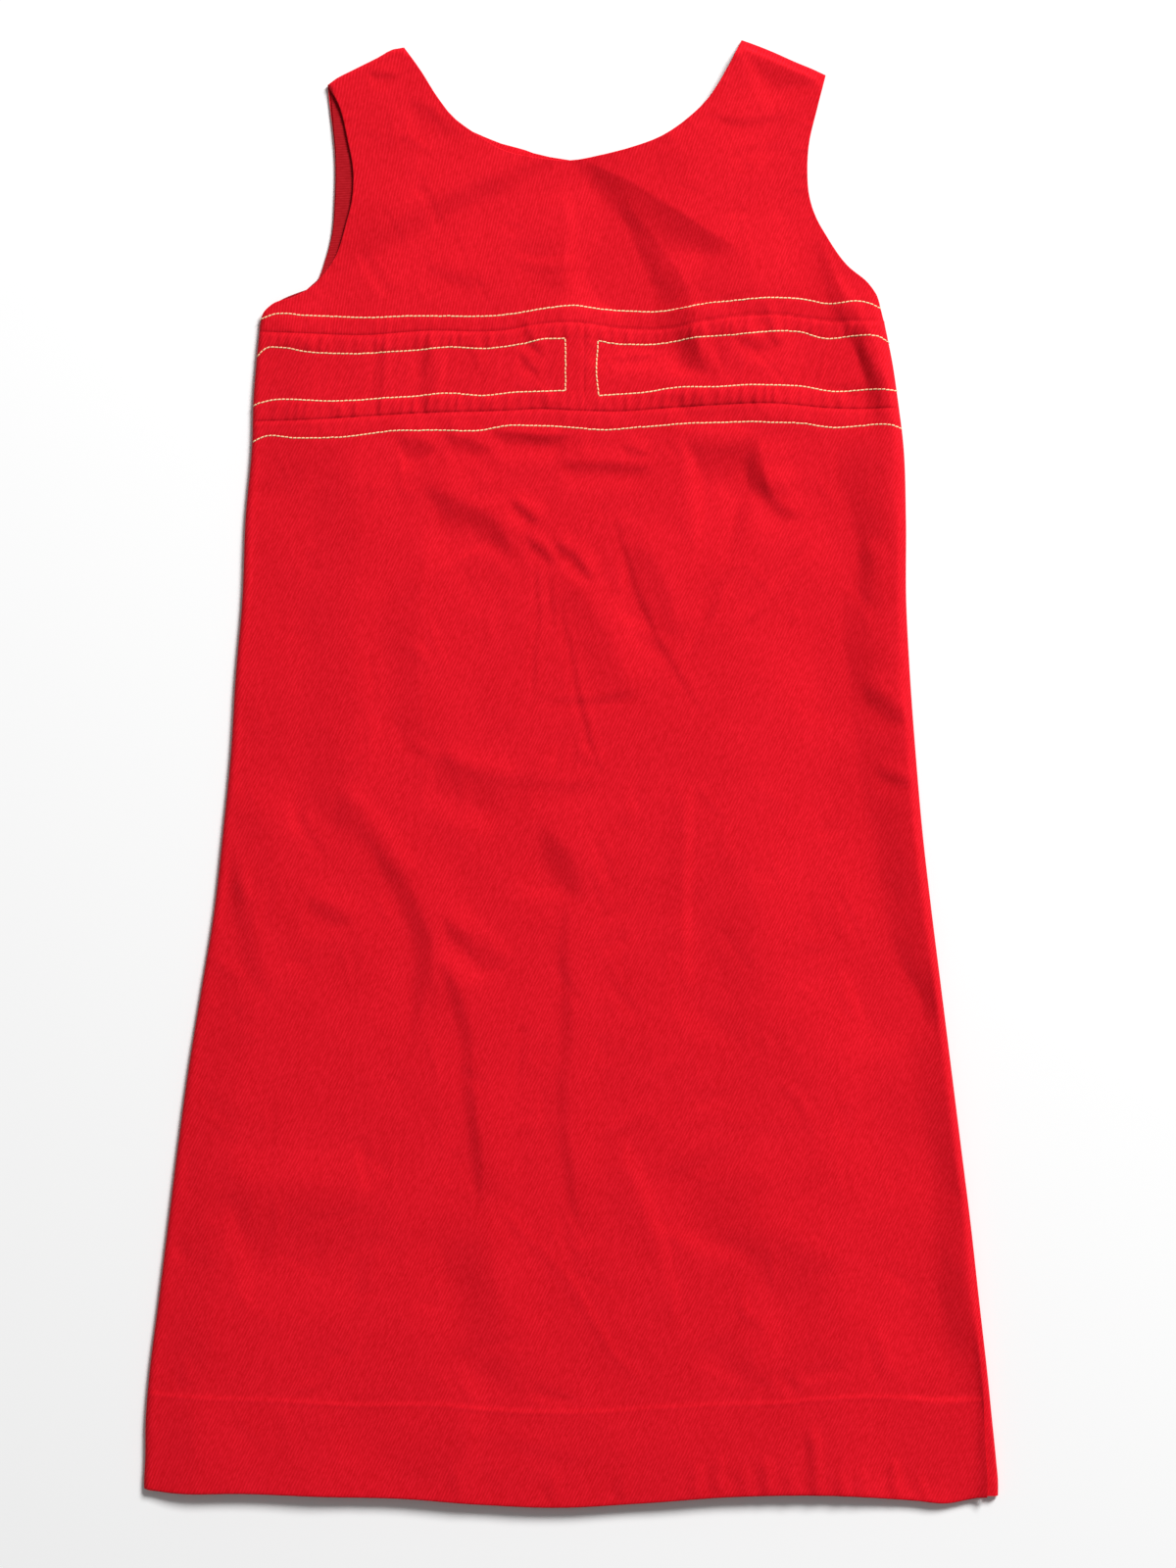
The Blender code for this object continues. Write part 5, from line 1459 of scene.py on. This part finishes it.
def twill(name, colour, lean, pitch, bend=0.0, ribs=1.0):
    """Cotton twill: ribs that lean this many degrees from the horizontal, broken up like yarn."""
    material, tree, shader = new_material(name, colour)
    place = tree.nodes.new("ShaderNodeTexCoord").outputs["Object"]
    turned = mapped(tree, place, (1 / MM, 1 / MM, 1 / MM), 90 - lean)
    across = axis_of(tree, turned, "X")
    if bend:
        rise = math_node(tree, "SUBTRACT", axis_of(tree, place, "Y"), TWILL_BEND_Y)
        bent = math_node(tree, "MULTIPLY", axis_of(tree, place, "X"), rise)
        across = math_node(tree, "ADD", across, math_node(tree, "MULTIPLY", bent, bend / MM ** 2))
    drift = centred(tree, noise_node(tree, place, *DRIFT_NOISE), DRIFT_WEIGHT)
    across = math_node(tree, "ADD", across, drift)
    wave = math_node(tree, "SINE", math_node(tree, "MULTIPLY", across, 2 * math.pi / pitch))
    half = math_node(tree, "ADD", math_node(tree, "MULTIPLY", wave, 0.5), 0.5)
    rib = math_node(tree, "POWER", half, RIB_POWER)
    streak = noise_node(tree, mapped(tree, turned, STREAK_STRETCH), *STREAK_NOISE)
    yarn = noise_node(tree, place, *YARN_NOISE)
    cloud = noise_node(tree, place, *CLOUD_NOISE)
    shown = math_node(tree, "ADD", math_node(tree, "MULTIPLY", streak, RIB_SHOWN[0]), RIB_SHOWN[1])
    share = math_node(tree, "MULTIPLY", rib, RIB_WEIGHT * ribs)
    share = math_node(tree, "MULTIPLY", share, shown)
    for value, weight in ((streak, STREAK_WEIGHT), (yarn, YARN_WEIGHT), (cloud, CLOUD_WEIGHT)):
        share = math_node(tree, "ADD", share, centred(tree, value, weight))
    share = math_node(tree, "ADD", share, TWILL_BASE)
    # Light and dark paint along the ribs and streaks is partly painted highlight and shade on the raised
    # yarn, beside the yarn's own uneven tone
    mix_paint(tree, shader, share, tinted(colour, TWILL_DARK), tinted(colour, TWILL_LIGHT))
    bump = tree.nodes.new("ShaderNodeBump")
    bump.inputs["Strength"].default_value = 0.35
    bump.inputs["Distance"].default_value = 0.00012
    raised = math_node(tree, "ADD", math_node(tree, "MULTIPLY", rib, 0.5 * ribs), yarn)
    tree.links.new(raised, bump.inputs["Height"])
    tree.links.new(bump.outputs[0], shader.inputs["Normal"])
    shader.inputs["Roughness"].default_value = 0.82
    shader.inputs["Specular IOR Level"].default_value = 0.10
    shader.inputs["Sheen Weight"].default_value = 0.06
    shader.inputs["Sheen Roughness"].default_value = 0.5
    shader.inputs["Sheen Tint"].default_value = (1.0, 0.35, 0.42, 1)
    return material


def thread(name, colour):
    """Twisted sewing thread with a soft sheen."""
    material, tree, shader = new_material(name, colour)
    place = tree.nodes.new("ShaderNodeTexCoord").outputs["Object"]
    tone = noise_node(tree, place, *THREAD_NOISE)
    mix_paint(tree, shader, tone, tinted(colour, THREAD_DARK), tinted(colour, THREAD_LIGHT))
    shader.inputs["Roughness"].default_value = 0.6
    shader.inputs["Specular IOR Level"].default_value = 0.3
    return material


def plain_material(name, colour, roughness):
    """An even finish for the floor."""
    material = bpy.data.materials.new(name)
    material.use_nodes = True
    shader = material.node_tree.nodes["Principled BSDF"]
    shader.inputs["Base Color"].default_value = (*colour, 1)
    shader.inputs["Roughness"].default_value = roughness
    shader.inputs["Specular IOR Level"].default_value = 0.2
    return material


def area_light(name, place, size, power):
    """A square soft light that looks at the middle of the dress."""
    data = bpy.data.lights.new(name, "AREA")
    data.size = size
    data.energy = power
    lamp = bpy.data.objects.new(name, data)
    lamp.location = place
    lamp.rotation_euler = (-Vector(place)).to_track_quat("-Z", "Y").to_euler()
    bpy.context.scene.collection.objects.link(lamp)


def white_floor():
    """The floor under the dress."""
    corners = [(x, y, -FLOOR_DROP) for x, y in ((-1, -1), (1, -1), (1, 1), (-1, 1))]
    mesh = bpy.data.meshes.new("floor")
    mesh.from_pydata([(x * FLOOR_REACH, y * FLOOR_REACH, z) for x, y, z in corners], [], [(0, 1, 2, 3)])
    mesh.materials.append(plain_material("white_floor", (0.93, 0.93, 0.93), 0.9))
    made = bpy.data.objects.new("floor", mesh)
    bpy.context.scene.collection.objects.link(made)
    return made


def studio(scene):
    """Even white light from all round, and a key light from the upper right."""
    scene.view_settings.view_transform = "Standard"
    scene.view_settings.look = "None"
    world = bpy.data.worlds.new("studio")
    world.use_nodes = True
    background = world.node_tree.nodes["Background"]
    background.inputs["Color"].default_value = (1.0, 1.0, 1.0, 1)
    background.inputs["Strength"].default_value = WORLD_STRENGTH
    scene.world = world
    area_light("key", KEY_PLACE, KEY_SIZE, KEY_POWER)


def camera_above(scene):
    """The camera, which looks straight down at the dress."""
    data = bpy.data.cameras.new("camera")
    data.type = "PERSP"
    data.lens = LENS
    data.sensor_width = 36.0
    data.clip_start = 0.05
    camera = bpy.data.objects.new("camera", data)
    camera.location = CAMERA_PLACE
    camera.rotation_euler = (0, 0, 0)
    scene.collection.objects.link(camera)
    scene.camera = camera


YOKE_TWILL = twill("yoke_twill_cloth", RED, YOKE_LEAN, TWILL_PITCH, bend=YOKE_BEND)
BAND_TWILL, SKIRT_TWILL, BACK_TWILL = [
    twill(part + "_twill_cloth", RED, TWILL_LEAN, TWILL_PITCH) for part in ("band", "skirt", "back")
]
# The facing's twill carries painted shade: its red is darkened for the recess under the front's edge
FACING_SHADED_TWILL = twill("facing_shaded_twill_cloth", FACING_SHADE_RED, FACING_LEAN, FACING_PITCH, ribs=FACING_RIBS)
CREAM = thread("cream_thread_yarn", CREAM_COLOUR)

pieces = [
    # piece, CAD node, slot, flat width and length, flat area, what it rests on
    (shell("yoke_cloth", *front_sheet(yoke_plan()), YOKE_TWILL), "front_yoke", "red_twill",
     (0.400, 0.190), 0.043, ["facing_left_cloth", "facing_right_cloth"]),
    (shell("band_left_cloth", *front_sheet(band_plan(False)), BAND_TWILL), "chest_band_left", "red_twill",
     (0.205, 0.058), 0.0107, ["back_left_cloth"]),
    (shell("band_right_cloth", *front_sheet(band_plan(True)), BAND_TWILL), "chest_band_right", "red_twill",
     (0.205, 0.058), 0.0107, ["back_right_cloth"]),
    (shell("skirt_cloth", *front_sheet(skirt_plan()), SKIRT_TWILL), "front_skirt", "red_twill",
     (0.535, 0.670), 0.305, ["back_left_cloth", "back_right_cloth"]),
    (back_half(False, BACK_TWILL), "back_left", "red_twill", (0.270, 0.900), 0.184, []),
    (back_half(True, BACK_TWILL), "back_right", "red_twill", (0.280, 0.900), 0.184, []),
    (back_facing(False, FACING_SHADED_TWILL), "back_facing_left", "red_facing", (0.200, 0.205), 0.026,
     ["back_left_cloth"]),
    (back_facing(True, FACING_SHADED_TWILL), "back_facing_right", "red_facing", (0.200, 0.205), 0.026,
     ["back_right_cloth"]),
]
for piece, cad_node, slot_name, flat, area, rests in pieces:
    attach(piece, "root")
    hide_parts(cad_node)

stitched = (
    ("stitches_above_band", [to_plan(STITCHES_ABOVE)]),
    ("stitches_box_left", box_lines(False)),
    ("stitches_box_right", box_lines(True)),
    ("stitches_below_band", [to_plan(STITCHES_BELOW)]),
)
for number, (row_name, row_lines) in enumerate(stitched):
    row = stitch_row(row_name, row_lines, CREAM, STITCH_SEED + number)
    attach(row, "root")

floor = white_floor()
studio(bpy.context.scene)
camera_above(bpy.context.scene)
